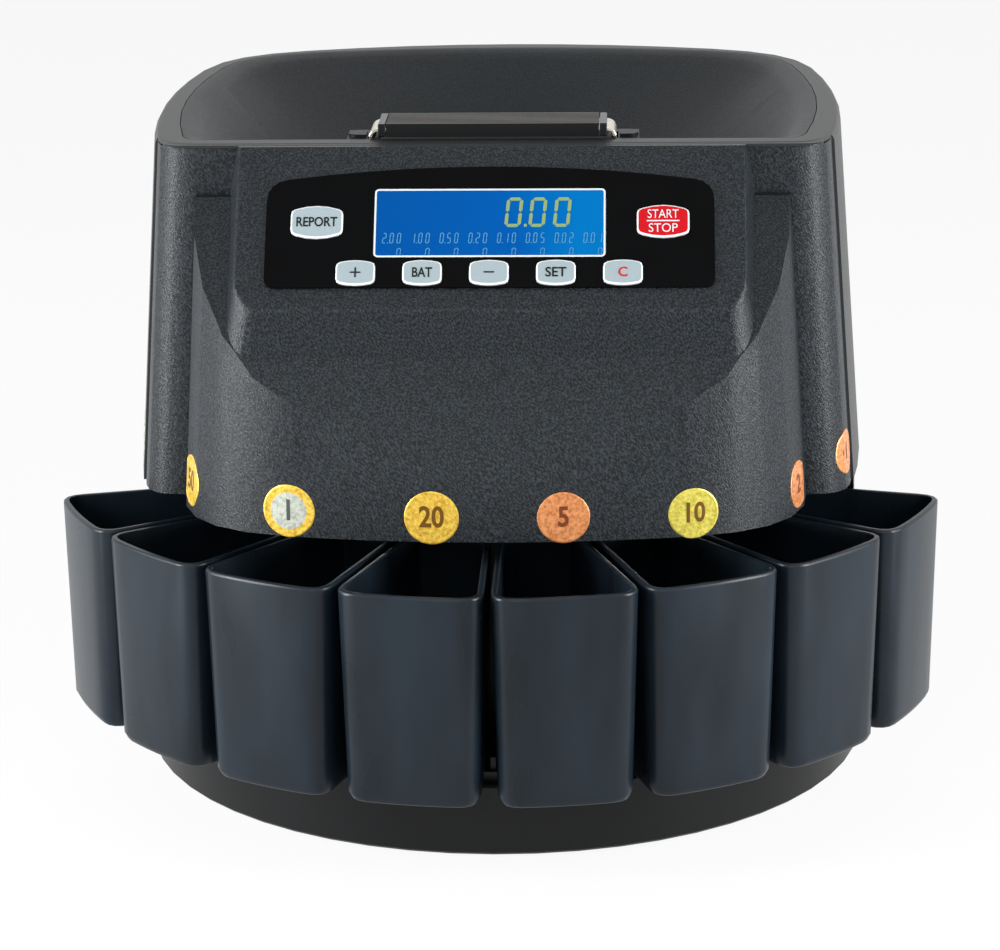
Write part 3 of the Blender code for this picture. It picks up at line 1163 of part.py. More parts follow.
def display_parts():
    """The display module behind the window and the control board behind the keys."""
    face = -WALL - GAP
    half, low = WINDOW_HALF + MODULE_MARGIN, WINDOW_FOOT - MODULE_MARGIN / 3
    high = WINDOW_FOOT + WINDOW_HEIGHT + MODULE_MARGIN / 2
    module = box((-half, low, BOARD_Z + GAP), (half, high, face))
    piece("display_module", mesh_of("display_module", module), finish("display_blue", "#0a63b8", 0.3), FACE)
    board = box((-BOARD_HALF, BOARD_FOOT, BOARD_Z - BOARD_THICKNESS), (BOARD_HALF, BOARD_TOP, BOARD_Z))
    part = piece("control_board", mesh_of("control_board", board), finish("board_green", "#1f5a36", 0.5), FACE)
    chip = box((-BOARD_HALF / 5, BOARD_FOOT + MODULE_MARGIN, BOARD_Z - 2 * BOARD_THICKNESS),
               (BOARD_HALF / 5, BOARD_TOP / 2, BOARD_Z - BOARD_THICKNESS / 2))
    fuse(part, tool("board_chips", chip, FACE))


def hopper_funnel():
    """The hopper insert: flange in the rim, rolled edge, sloping walls and a round well."""
    seam, throat = seam_plan(), seam_plan(ROLL_WIDTH, ROLL_FRONT)
    under = grown(throat, FUNNEL_WALL)
    rings = [ring(seam, FLANGE_Z), ring(seam, RIM_Z)]
    for step in range(3):
        angle = math.radians(30) * step + math.radians(12)
        plan = [outer.lerp(inner, math.sin(angle)) for outer, inner in zip(seam, throat)]
        rings.append(ring(plan, RIM_Z - ROLL_DROP * (1 - math.cos(angle))))
    well, outer_well = WELL_RADIUS, WELL_RADIUS + FUNNEL_WALL
    rings += [ring(on_circle(throat, well + WELL_ROUND), WELL_TOP_Z + WELL_ROUND * 3 / 4),
              ring(on_circle(throat, well + WELL_ROUND / 4), WELL_TOP_Z),
              ring(on_circle(throat, well), WELL_TOP_Z - WELL_ROUND),
              ring(on_circle(throat, well), WELL_FOOT_Z),
              ring(on_circle(throat, outer_well), WELL_FOOT_Z),
              ring(on_circle(throat, outer_well), WELL_TOP_Z - WELL_ROUND),
              ring(under, RIM_Z - ROLL_DROP - FUNNEL_WALL), ring(under, FLANGE_Z)]
    funnel = piece("hopper_funnel", mesh_of("hopper_funnel", loft(rings, looped=True)),
                   finish("funnel_plastic", "#2f3235", 0.55), AXIS)
    pads, slots = bmesh.new(), bmesh.new()
    half = STRAP_LEG_WIDTH / 2 + 2 * GAP
    top = RIM_Z - PAD_SINK
    leg_in = STRAP_LEG_OUT - STRAP_THICKNESS / 2 - 2 * GAP
    leg_out = STRAP_LEG_OUT + STRAP_THICKNESS / 2 + 2 * GAP
    for side in (-1, 1):
        ends = sorted((side * PAD_INNER, side * (PAD_INNER + PAD_LENGTH)))
        box((ends[0], -SEAM_FRONT + GAP, top - PAD_DEPTH), (ends[1], STRAP_Y + half + PAD_WALL, top), pads)
        ends = sorted((side * leg_in, side * leg_out))
        box((ends[0], STRAP_Y - half, top - PAD_DEPTH - OVERRUN), (ends[1], STRAP_Y + half, RIM_Z + OVERRUN), slots)
    fuse(funnel, tool("handle_pads", pads, AXIS))
    bosses = bmesh.new()
    inner = leg_out + 2 * GAP
    outer = PAD_INNER + PAD_LENGTH - GAP
    for side in (-1, 1):
        across = BOSS_WIDTH / 2
        ends = sorted((side * inner, side * outer))
        corners = ((ends[0], STRAP_Y - across), (ends[1], STRAP_Y - across),
                   (ends[1], STRAP_Y + across), (ends[0], STRAP_Y + across))
        far = min(outer - inner, across) * 0.9
        sets = (0, far, far, 0) if side > 0 else (far, 0, 0, far)
        plan = outline(corners, (0,) * 4, sets, (1,) * 4, 4)
        prism(plan, top - BOSS_HEIGHT, RIM_Z + BOSS_HEIGHT, bosses)
    fuse(funnel, tool("handle_bosses", bosses, AXIS))
    cut(funnel, tool("strap_slots", slots, AXIS))


GRIP_Z = RIM_Z + GRIP_STAND
GRIP_TOP_Z = GRIP_Z + GRIP_HEIGHT
STRAP_Z = (GRIP_Z + GRIP_TOP_Z) / 2


def carry_handle():
    """A steel strap with a ribbed grip; its legs run down through slots and lift with it."""
    half = STRAP_WIDTH / 2 + GRIP_MARGIN
    step_width = 2 * half / (2 * GRIP_RIBS + 1)
    side = [Vector((STRAP_Y + half, GRIP_Z)), Vector((STRAP_Y - half, GRIP_Z))]
    for index in range(2 * GRIP_RIBS + 1):
        top = GRIP_TOP_Z - (GRIP_RIB_HEIGHT if index % 2 else 0)
        start = STRAP_Y - half + index * step_width
        side += [Vector((start, top)), Vector((start + step_width, top))]
    ends = [[Vector((across, point.x, point.y)) for point in side] for across in (-GRIP_HALF, GRIP_HALF)]
    grip = piece("handle_grip", mesh_of("handle_grip", loft(ends)), finish("grip_rubber", "#4a433e", 0.6), AXIS)
    strap_half = STRAP_THICKNESS / 2
    long_slot = box((-GRIP_HALF - OVERRUN, STRAP_Y - STRAP_WIDTH / 2 - GAP, STRAP_Z - strap_half - GAP),
                    (GRIP_HALF + OVERRUN, STRAP_Y + STRAP_WIDTH / 2 + GAP, STRAP_Z + strap_half + GAP))
    slot = tool("grip_slot", long_slot, AXIS)
    cut(grip, slot)
    cap_finish = finish("cap_plastic", "#6b7073", 0.5)
    for label, turn in (("left", -1), ("right", 1)):
        near, far = turn * (GRIP_HALF + GAP), turn * (GRIP_HALF + GRIP_CAP)
        low, high = min(near, far), max(near, far)
        body = box((low, STRAP_Y - half, GRIP_Z), (high, STRAP_Y + half, GRIP_TOP_Z))
        cap = piece(f"handle_end_cap_{label}", mesh_of(f"end_cap_{label}", body), cap_finish, AXIS)
        cut(cap, slot)
    carry_strap()


def carry_strap():
    """The steel strap: flat under the grip, bent down at both ends into narrower legs."""
    foot = STRAP_Z - STRAP_LEG_LENGTH - STRAP_BEND
    leg = Vector((STRAP_LEG_OUT, STRAP_Z - STRAP_BEND))
    shoulder = Vector((STRAP_LEG_OUT - STRAP_BEND, STRAP_Z))
    half = [Vector((STRAP_LEG_OUT, foot))] + bend(leg, Vector((STRAP_LEG_OUT, STRAP_Z)), shoulder, 5)
    middle = half + [Vector((-point.x, point.y)) for point in reversed(half)]
    sides = [[], []]
    for index, point in enumerate(middle):
        before = point - middle[index - 1] if index else middle[1] - point
        after = middle[index + 1] - point if index + 1 < len(middle) else before
        along = (before.normalized() + after.normalized()).normalized()
        normal = Vector((along.y, -along.x)) * (STRAP_THICKNESS / 2)
        sides[0].append(point + normal)
        sides[1].append(point - normal)
    loop = sides[0] + list(reversed(sides[1]))
    ends = [[Vector((point.x, STRAP_Y + across, point.y)) for point in loop]
            for across in (-STRAP_WIDTH / 2, STRAP_WIDTH / 2)]
    strap = piece("handle_strap", mesh_of("handle_strap", loft(ends)), finish("strap_steel", "#b9bcae", 0.3, 1.0), AXIS)
    trims = bmesh.new()
    shoulder_z = RIM_Z + 2 * GAP
    for side in (-1, 1):
        for flank in (-1, 1):
            across = sorted((side * (STRAP_LEG_OUT - STRAP_BEND), side * (STRAP_LEG_OUT + STRAP_BEND)))
            depth = sorted((STRAP_Y + flank * STRAP_LEG_WIDTH / 2, STRAP_Y + flank * STRAP_WIDTH))
            box((across[0], depth[0], foot - OVERRUN), (across[1], depth[1], shoulder_z), trims)
    cut(strap, tool("leg_trims", trims, AXIS))


base_pan()
bottom_plate()
lower_housing()
mains_inlet()
power_switch()
data_port()
power_supply()
sorting_deck()
gauge_ring()
coin_rail()
sensor_bar()
feed_disc()
spindle()
gears()
motor_mount()
front_panel()
top_cover()
hopper_funnel()
keypad()
display_parts()
carry_handle()
coin_cups()
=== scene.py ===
import json
import math

import bmesh
import bpy
from mathutils import Matrix, Vector
from mathutils.bvhtree import BVHTree

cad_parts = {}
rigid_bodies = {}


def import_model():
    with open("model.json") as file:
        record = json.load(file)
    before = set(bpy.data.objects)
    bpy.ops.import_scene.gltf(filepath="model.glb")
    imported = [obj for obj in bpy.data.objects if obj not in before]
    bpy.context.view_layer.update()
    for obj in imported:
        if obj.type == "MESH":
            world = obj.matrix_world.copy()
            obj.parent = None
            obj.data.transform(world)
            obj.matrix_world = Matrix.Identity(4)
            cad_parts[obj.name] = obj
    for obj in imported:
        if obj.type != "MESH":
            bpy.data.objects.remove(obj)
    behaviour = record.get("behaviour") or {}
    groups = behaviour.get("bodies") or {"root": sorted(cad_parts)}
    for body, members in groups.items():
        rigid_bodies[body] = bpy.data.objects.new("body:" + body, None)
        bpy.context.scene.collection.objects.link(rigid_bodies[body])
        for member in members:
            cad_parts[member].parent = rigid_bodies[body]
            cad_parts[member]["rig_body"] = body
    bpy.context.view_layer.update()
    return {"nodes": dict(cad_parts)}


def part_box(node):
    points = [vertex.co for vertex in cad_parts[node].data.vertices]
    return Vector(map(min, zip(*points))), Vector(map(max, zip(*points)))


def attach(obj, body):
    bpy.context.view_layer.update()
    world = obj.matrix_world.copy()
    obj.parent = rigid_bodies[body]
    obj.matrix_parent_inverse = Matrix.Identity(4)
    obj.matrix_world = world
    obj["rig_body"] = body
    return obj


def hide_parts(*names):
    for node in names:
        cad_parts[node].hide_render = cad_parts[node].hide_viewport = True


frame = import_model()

MM = 0.001


# Camera, floor and lamps: a long lens, a little right of the middle and 16 degrees above the
# table. Six soft boxes light the counter in what the camera and reflections see as a white room.
# Two of them are upright strips that stand close, so that the upright walls mirror them.
LENS_PIXELS = 3489
PICTURE_WIDTH = 1000
SENSOR_WIDTH = 36
CAMERA_PLACE = Vector((51.45, -1373.53, 515.695)) * MM
CAMERA_RIGHT = Vector((0.999333, 0.034911, -0.010723))
CAMERA_UP = Vector((0.000512, 0.280201, 0.959941))

lens = bpy.data.cameras.new("lens")
lens.sensor_width = SENSOR_WIDTH
lens.lens = LENS_PIXELS / PICTURE_WIDTH * SENSOR_WIDTH
camera = bpy.data.objects.new("camera", lens)
axes = Matrix((CAMERA_RIGHT, CAMERA_UP, CAMERA_RIGHT.cross(CAMERA_UP))).transposed()
camera.matrix_world = Matrix.Translation(CAMERA_PLACE) @ axes.to_4x4()
bpy.context.scene.collection.objects.link(camera)
bpy.context.scene.camera = camera
bpy.context.scene.view_settings.view_transform = "Standard"


def linear(colour):
    """A hex colour, as it looks on a screen, in the linear values that Blender takes."""
    parts = [int(colour[i : i + 2], 16) / 255 for i in (0, 2, 4)]
    return (*[c / 12.92 if c <= 0.04045 else ((c + 0.055) / 1.055) ** 2.4 for c in parts], 1)


def node(tree, kind, settings=None, links=None):
    """Adds one shader node, with its own and its sockets' values, and the sockets that feed it."""
    made = tree.nodes.new("ShaderNode" + kind)
    for name, value in (settings or {}).items():
        if isinstance(name, str) and hasattr(made, name):
            setattr(made, name, value)
        else:
            made.inputs[name].default_value = value
    for name, source in (links or {}).items():
        tree.links.new(source, made.inputs[name])
    return made


def background_seen(tree):
    """One where a ray comes from the camera, a gloss or a glass, and nought where it lights."""
    path = node(tree, "LightPath")
    gloss = node(tree, "Math", {"operation": "MAXIMUM"},
                 {0: path.outputs["Is Camera Ray"], 1: path.outputs["Is Glossy Ray"]})
    return node(tree, "Math", {"operation": "MAXIMUM"},
                {0: gloss.outputs[0], 1: path.outputs["Is Transmission Ray"]}).outputs[0]


WORLD_LIGHT = 0.28
world = bpy.data.worlds.new("studio")
bpy.context.scene.world = world
world.use_nodes = True
tree = world.node_tree
tree.nodes.clear()
lighting = node(tree, "Background", {"Color": linear("f4f7fb"), "Strength": WORLD_LIGHT})
shown = node(tree, "Background", {"Color": linear("ffffff"), "Strength": 1})
mixed = node(tree, "MixShader", {}, {0: background_seen(tree), 1: lighting.outputs[0],
                                     2: shown.outputs[0]})
node(tree, "OutputWorld", {}, {"Surface": mixed.outputs[0]})

FLOOR_HALF = 6
FLOOR_GLOW = 0.9
sheet = bpy.data.meshes.new("studio_floor")
sheet.from_pydata([(-FLOOR_HALF, -FLOOR_HALF, 0), (FLOOR_HALF, -FLOOR_HALF, 0),
                   (FLOOR_HALF, FLOOR_HALF, 0), (-FLOOR_HALF, FLOOR_HALF, 0)], [], [(0, 1, 2, 3)])
floor = bpy.data.objects.new("studio_floor", sheet)
bpy.context.scene.collection.objects.link(floor)
paper = bpy.data.materials.new("backdrop_paper")
paper.use_nodes = True
tree = paper.node_tree
tree.nodes.clear()
matt = node(tree, "BsdfDiffuse", {"Color": linear("f2f2f2")})
white = node(tree, "Emission", {"Color": linear("ffffff"), "Strength": 1})
share = node(tree, "Math", {"operation": "MULTIPLY", 1: FLOOR_GLOW}, {0: background_seen(tree)})
mixed = node(tree, "MixShader", {}, {0: share.outputs[0], 1: matt.outputs[0],
                                     2: white.outputs[0]})
node(tree, "OutputMaterial", {}, {"Surface": mixed.outputs[0]})
sheet.materials.append(paper)

AIM = Vector((0, 0, 0.15))
for name, place, size, power in (
    ("left_box", (-1.3, -0.35, 0.5), (0.9, 0.8), 14),
    ("right_box", (1.3, -0.35, 0.5), (0.9, 0.8), 12),
    ("left_strip", (-0.55, -0.33, 0.23), (0.1, 0.44), 3.4),
    ("right_strip", (0.55, -0.33, 0.23), (0.1, 0.44), 2.6),
    ("front_box", (-0.2, -2.0, 1.0), (1.0, 0.6), 4),
    ("roof_box", (0.1, 0.5, 1.7), (1.4, 1.0), 4),
):
    lamp = bpy.data.lights.new(name, "AREA")
    lamp.shape = "RECTANGLE"
    lamp.size, lamp.size_y = size
    lamp.energy = power
    box = bpy.data.objects.new(name, lamp)
    box.location = place
    box.visible_camera = False
    box.rotation_mode = "QUATERNION"
    box.rotation_quaternion = (AIM - Vector(place)).to_track_quat("-Z", "Y")
    bpy.context.scene.collection.objects.link(box)


# Front panel, with the bowed front, the U-shaped recess and the sloping console in one.
# Injection-moulded ABS from a spark-eroded tool: a fine leather grain of pits and crests.
def material(name):
    """A new material and its tree, with one Principled shader."""
    made = bpy.data.materials.new(name)
    made.use_nodes = True
    tree = made.node_tree
    tree.nodes.clear()
    shader = node(tree, "BsdfPrincipled")
    node(tree, "OutputMaterial", {}, {"Surface": shader.outputs["BSDF"]})
    return made, tree, shader


def ramp(tree, value, *stops):
    """Colours over a value: each stop is a place from nought to one and the hex colour there."""
    made = node(tree, "ValToRGB", {}, {0: value})
    points = made.color_ramp.elements
    for count, (place, colour) in enumerate(stops):
        point = points[count] if count < 2 else points.new(place)
        point.position = place
        point.color = linear(colour)
    return made.outputs[0]


def feed(tree, shader, colour, gloss, relief):
    """Gives a shader its colour, its gloss and its relief."""
    for socket, source in (("Base Color", colour), ("Roughness", gloss), ("Normal", relief)):
        tree.links.new(source, shader.inputs[socket])


def moulded(name, pits, crests, roughness, grain, depth, gleam=0.5, stretch=(1, 1, 1), turn=0):
    """A moulded plastic with pits and crests in its colour, its gloss and its height.
    grain is the width of one crest and depth its height, both in metres, and gleam how much it
    mirrors. stretch and turn draw the crests out along one direction."""
    made, tree, shader = material(name)
    shader.inputs["Specular IOR Level"].default_value = gleam
    place = node(tree, "TexCoord").outputs["Object"]
    lean = node(tree, "Mapping", {"Rotation": (0, turn, 0)}, {"Vector": place}).outputs[0]
    turned = node(tree, "Mapping", {"Scale": stretch}, {"Vector": lean}).outputs[0]
    crest = node(tree, "TexNoise", {"Scale": 1 / grain, "Detail": 2.0, "Roughness": 0.6},
                 {"Vector": turned}).outputs["Fac"]
    colour = ramp(tree, crest, (0.42, pits), (0.64, crests))
    gloss = node(tree, "MapRange", {"From Min": 0.3, "From Max": 0.7,
                                    "To Min": roughness * 1.15, "To Max": roughness * 0.85},
                 {"Value": crest}).outputs[0]
    relief = node(tree, "Bump", {"Strength": 1.0, "Distance": depth}, {"Height": crest})
    feed(tree, shader, colour, gloss, relief.outputs[0])
    return made


WELD = 0.002 * MM
FLAT_ANGLE = math.radians(0.3)
MOSTLY_UP = 0.5


def skin(cad_node, made, finish, edge=0.4 * MM, turn=32, painted_shade_sides=None):
    """The CAD node's shape with round edges and smooth curves, in its place and on its body.
    edge is the width of the round edges and turn the least angle, in degrees, that gets one.
    Faces that don't face up take the finish given for them, if there is one: a darker copy that
    paints shade on them."""
    cad = frame["nodes"][cad_node]
    mesh = bpy.data.meshes.new(f"{cad_node}_{made}")
    bm = bmesh.new()
    bm.from_mesh(cad.data)
    bmesh.ops.remove_doubles(bm, verts=bm.verts, dist=WELD)
    bmesh.ops.dissolve_limit(bm, angle_limit=FLAT_ANGLE, verts=bm.verts, edges=bm.edges)
    bm.to_mesh(mesh)
    bm.free()
    for name in ("custom_normal", "sharp_face", "sharp_edge"):
        if name in mesh.attributes:
            mesh.attributes.remove(mesh.attributes[name])
    mesh.materials.clear()
    mesh.materials.append(finish)
    mesh.polygons.foreach_set("material_index", [0] * len(mesh.polygons))
    if painted_shade_sides:
        mesh.materials.append(painted_shade_sides)
        for one in mesh.polygons:
            one.material_index = 0 if one.normal.z > MOSTLY_UP else 1
    mesh.shade_smooth()
    mesh.set_sharp_from_angle(angle=math.radians(turn))
    piece = bpy.data.objects.new(mesh.name, mesh)
    bpy.context.scene.collection.objects.link(piece)
    if edge:
        round_edges = piece.modifiers.new("round_edges", "BEVEL")
        round_edges.width = edge
        round_edges.segments = 2
        round_edges.limit_method = "ANGLE"
        round_edges.angle_limit = math.radians(turn)
        round_edges.use_clamp_overlap = True
        flats = piece.modifiers.new("flat_faces", "WEIGHTED_NORMAL")
        flats.keep_sharp = True
    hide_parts(cad_node)
    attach(piece, cad["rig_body"])
    return piece


# The grain shows as fine slanting specks of light, drawn a little coarser than it is.
# Its pits are painted dark as shade, and its crests painted light as highlights.
GRAIN = 0.52 * MM
GRAIN_DEPTH = 0.2 * MM
GRAIN_STRETCH = (1, 1, 0.45)
GRAIN_SLANT = math.radians(35)
grain_abs_painted_light = moulded("leather_grain_painted_light", "010202", "30373d", 0.36, GRAIN, GRAIN_DEPTH, 0.26,
                      GRAIN_STRETCH, GRAIN_SLANT)
skin("front_panel", "moulding", grain_abs_painted_light)


# Top cover, with the side walls, the back and the rim in one.
# Injection-moulded ABS from a finely sanded tool, so smoother and warmer in colour than the panel.
# A fine sanded surface spreads the lamps into broad soft highlights on the corners.
sanded_abs = moulded("sanded_abs", "1c1e1f", "282a2c", 0.42, 0.45 * MM, 0.02 * MM, 0.3)
skin("top_cover", "moulding", sanded_abs, edge=0.6 * MM)


# Hopper funnel, which takes the coins down its slopes to the well with the feed disc.
# Injection-moulded ABS, dropped into the rim from above. Coins have rubbed its slopes smooth.
# Dark, with a low even shine where the coins slide.
rubbed_abs = moulded("rubbed_abs", "0b0f12", "1c2328", 0.42, 0.6 * MM, 0.1 * MM, 0.16)
skin("hopper_funnel", "moulding", rubbed_abs)


# Carry handle: a ribbed rubber grip on a bent strap of spring steel, with a cap at each end.
# The grip is an extruded rubber sleeve with fine lengthwise ribs, and the strap is bright-rolled.
RIB_PITCH = 2.4 * MM
rubber, tree, shader = material("grip_ribs_painted_highlights")
place = node(tree, "TexCoord").outputs["Object"]
# A wave band repeats every pi / (10 * scale) metres, so the scale follows from the ribs' pitch.
ribs = node(tree, "TexWave", {"bands_direction": "Y", "Scale": math.pi / 10 / RIB_PITCH},
            {"Vector": place}).outputs["Fac"]
# The ribs' crests are painted lighter than the rubber, as highlights.
tint = ramp(tree, ribs, (0.55, "2b2826"), (0.95, "6e6a66"))
relief = node(tree, "Bump", {"Strength": 0.8, "Distance": 0.5 * MM}, {"Height": ribs})
tree.links.new(tint, shader.inputs["Base Color"])
tree.links.new(relief.outputs[0], shader.inputs["Normal"])
shader.inputs["Roughness"].default_value = 0.5
# The ribs are only on top. Below them the sleeve is smooth and nearly black: partly its own dark
# rubber, partly painted shade under the grip.
grip_underside_dark_and_shaded = moulded("dark_rubber_painted_shade", "060707", "0c0d0e", 0.5, 0.6 * MM, 0.03 * MM, 0.2)
skin("handle_grip", "sleeve", rubber, painted_shade_sides=grip_underside_dark_and_shaded)

# The caps' sides are painted much darker than their tops, as shade; the tops keep the caps' grey.
cap_abs = moulded("cap_abs", "4c5052", "5c6062", 0.4, 0.5 * MM, 0.02 * MM)
shade_on_cap_flanks = moulded("cap_flanks_painted_shade", "0c0d0e", "141617", 0.4, 0.5 * MM, 0.02 * MM, 0.2)
for side in ("left", "right"):
    skin(f"handle_end_cap_{side}", "moulding", cap_abs, painted_shade_sides=shade_on_cap_flanks)


LINE_STRETCH = 0.06


def rolled(name, dark, bright, roughness, line, along):
    """A rolled or brushed metal: fine lines, line metres wide, drawn out along one axis."""
    made, tree, shader = material(name)
    place = node(tree, "TexCoord").outputs["Object"]
    stretch = [LINE_STRETCH if axis == along else 1 for axis in "XYZ"]
    lines = node(tree, "Mapping", {"Scale": stretch}, {"Vector": place}).outputs[0]
    lines = node(tree, "TexNoise", {"Scale": 1 / line, "Detail": 3.0},
                 {"Vector": lines}).outputs["Fac"]
    tint = ramp(tree, lines, (0.35, dark), (0.65, bright))
    gloss = node(tree, "MapRange", {"From Min": 0.3, "From Max": 0.7, "To Min": roughness * 1.2,
                                    "To Max": roughness * 0.8}, {"Value": lines}).outputs[0]
    relief = node(tree, "Bump", {"Strength": 0.5, "Distance": 0.02 * MM}, {"Height": lines})
    shader.inputs["Metallic"].default_value = 1
    feed(tree, shader, tint, gloss, relief.outputs[0])
    return made


# Bright rolled steel mirrors the white room in long soft lines.
spring_steel = rolled("bright_rolled_steel", "b9b3a4", "e6e2d6", 0.28, 0.5 * MM, "X")
skin("handle_strap", "strip", spring_steel, edge=0.3 * MM)


# Keypad film over the console, with the arched top edge.
# Screen-printed polycarbonate film, gloss black, glued down, with an opening for each key.
FACE_TILT = math.radians(51.5)
FACE_FOLD = Vector((0, -116.439, 212.5)) * MM
face = Matrix.Translation(FACE_FOLD) @ Matrix.Rotation(FACE_TILT, 4, "X")
into_face = face.inverted()


def height_on_face(cad_node):
    """How far a CAD node stands out of the console face, at its highest."""
    return max((into_face @ v.co).z for v in frame["nodes"][cad_node].data.vertices)


film, tree, shader = material("gloss_polycarbonate_film")
place = node(tree, "TexCoord").outputs["Object"]
# The glue under a film ripples it by hundredths of a millimetre, over about 15 mm.
ripple = node(tree, "TexNoise", {"Scale": 1 / (15 * MM), "Detail": 1.0}, {"Vector": place})
dust = node(tree, "TexNoise", {"Scale": 1 / (0.6 * MM), "Detail": 2.0}, {"Vector": place})
gloss = node(tree, "MapRange", {"From Min": 0.35, "From Max": 0.7, "To Min": 0.1, "To Max": 0.2},
             {"Value": dust.outputs["Fac"]})
tint = ramp(tree, ripple.outputs["Fac"], (0, "020203"), (1, "050607"))
relief = node(tree, "Bump", {"Strength": 0.3, "Distance": 0.05 * MM},
              {"Height": ripple.outputs["Fac"]})
feed(tree, shader, tint, gloss.outputs[0], relief.outputs[0])
shader.inputs["Specular IOR Level"].default_value = 0.06
skin("keypad_overlay", "film", film, edge=0.15 * MM)


# Display: a blue liquid-crystal module behind a clear window with a printed white frame.
# Its backlight is brighter to the right. The figures are plain seven-segment numbers.
WINDOW_HALF = 43.3 * MM
WINDOW_LOW = 21.2 * MM
WINDOW_HIGH = 49.6 * MM
FRAME_WIDTH = 0.7 * MM
WINDOW_CORNER = 1.6 * MM
PRINT = 0.08 * MM

lit_glass, tree, shader = material("backlit_display_glass")
place = node(tree, "TexCoord").outputs["Object"]
across = node(tree, "SeparateXYZ", {}, {0: place}).outputs["X"]
spread = node(tree, "MapRange", {"From Min": -WINDOW_HALF, "From Max": WINDOW_HALF},
              {"Value": across}).outputs[0]
cloud = node(tree, "TexNoise", {"Scale": 1 / (25 * MM), "Detail": 1.0}, {"Vector": place})
spread = node(tree, "Math", {"operation": "MULTIPLY_ADD", 1: 0.25},
              {0: cloud.outputs["Fac"], 2: spread}).outputs[0]
glow = ramp(tree, spread, (0.1, "00468a"), (0.7, "004c94"), (1, "0063a4"))
for socket in ("Base Color", "Emission Color"):
    tree.links.new(glow, shader.inputs[socket])
shader.inputs["Emission Strength"].default_value = 0.3
shader.inputs["Roughness"].default_value = 0.12
shader.inputs["Specular IOR Level"].default_value = 0.04
skin("display_window", "glass", lit_glass, edge=0)


def flat_piece(name, loops, low, finish, body):
    """Flat shapes printed on the console face: loops of face points, from the height low up."""
    mesh = bpy.data.meshes.new(name)
    bm = bmesh.new()
    for loop in loops:
        around = [bm.verts.new((u, v, low)) for u, v in loop]
        bm.faces.new(around)
    top = bmesh.ops.extrude_face_region(bm, geom=bm.faces[:])["geom"]
    bmesh.ops.translate(bm, vec=(0, 0, PRINT),
                        verts=[one for one in top if isinstance(one, bmesh.types.BMVert)])
    bmesh.ops.recalc_face_normals(bm, faces=bm.faces)
    bm.transform(face)
    bm.to_mesh(mesh)
    bm.free()
    mesh.materials.append(finish)
    piece = bpy.data.objects.new(name, mesh)
    bpy.context.scene.collection.objects.link(piece)
    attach(piece, body)


MOTTLE = 0.8


def printed(name, colour, roughness=0.35, glow=0.0):
    """A screen-printing ink: nearly flat, with the fine mottle of the screen's mesh."""
    made, tree, shader = material(name)
    place = node(tree, "TexCoord").outputs["Object"]
    mesh_marks = node(tree, "TexNoise", {"Scale": 1 / (0.3 * MM), "Detail": 1.0},
                      {"Vector": place})
    darker = node(tree, "Mix", {"data_type": "RGBA", 6: linear(colour),
                                7: [MOTTLE * c for c in linear(colour)[:3]] + [1]},
                  {0: mesh_marks.outputs["Fac"]})
    tree.links.new(darker.outputs[2], shader.inputs["Base Color"])
    shader.inputs["Roughness"].default_value = roughness
    shader.inputs["Specular IOR Level"].default_value = 0.2
    if glow:
        tree.links.new(darker.outputs[2], shader.inputs["Emission Color"])
        shader.inputs["Emission Strength"].default_value = glow
    return made


def rounded(left, right, low, high, corner, steps=4):
    """The points of a rectangle with round corners, anticlockwise."""
    points = []
    for turn, (u, v) in enumerate(((right - corner, high - corner), (left + corner, high - corner),
                                   (left + corner, low + corner), (right - corner, low + corner))):
        for step in range(steps + 1):
            angle = math.radians(90 * (turn + step / steps))
            points.append((u + corner * math.cos(angle), v + corner * math.sin(angle)))
    return points


def band(outer, inner):
    """The quads between two outlines with the same number of points."""
    count = len(outer)
    return [(outer[i], outer[(i + 1) % count], inner[(i + 1) % count], inner[i])
            for i in range(count)]


white_ink = printed("white_screen_ink", "e8eef0")
glass_top = max(height_on_face("display_window"), height_on_face("keypad_overlay"))
outer = rounded(-WINDOW_HALF, WINDOW_HALF, WINDOW_LOW, WINDOW_HIGH, WINDOW_CORNER)
inner = rounded(-WINDOW_HALF + FRAME_WIDTH, WINDOW_HALF - FRAME_WIDTH, WINDOW_LOW + FRAME_WIDTH,
                WINDOW_HIGH - FRAME_WIDTH, WINDOW_CORNER - FRAME_WIDTH)
flat_piece("display_frame", band(outer, inner), glass_top, white_ink, "housing")

SEGMENTS = {"0": "abcdef", "1": "bc", "2": "abged", "5": "afgcd", "cut 0": "abcef"}
LEAN = math.tan(math.radians(5))
BAR_GAP = 0.12


def figure(digit, left, low, width, high, bar):
    """The lit bars of one leaning seven-segment digit, as loops of face points."""
    half = bar / 2
    gap = bar * BAR_GAP
    corners = {
        "a": ((half, high - half), (width - half, high - half)),
        "b": ((width - half, high - half), (width - half, high / 2)),
        "c": ((width - half, high / 2), (width - half, half)),
        "d": ((half, half), (width - half, half)),
        "e": ((half, high / 2), (half, half)),
        "f": ((half, high - half), (half, high / 2)),
        "g": ((half, high / 2), (width - half, high / 2)),
    }
    loops = []
    for name in SEGMENTS[digit]:
        (u1, v1), (u2, v2) = corners[name]
        level = name in "adg"
        first, last = sorted((u1, u2)) if level else sorted((v1, v2))
        first, last = first + gap, last - gap
        fixed = v1 if level else u1
        line = [(first, fixed), (first + half, fixed - half), (last - half, fixed - half),
                (last, fixed), (last - half, fixed + half), (first + half, fixed + half)]
        points = line if level else [(across, up) for up, across in line][::-1]
        loops.append([(left + u + v * LEAN, low + v) for u, v in points])
    return loops


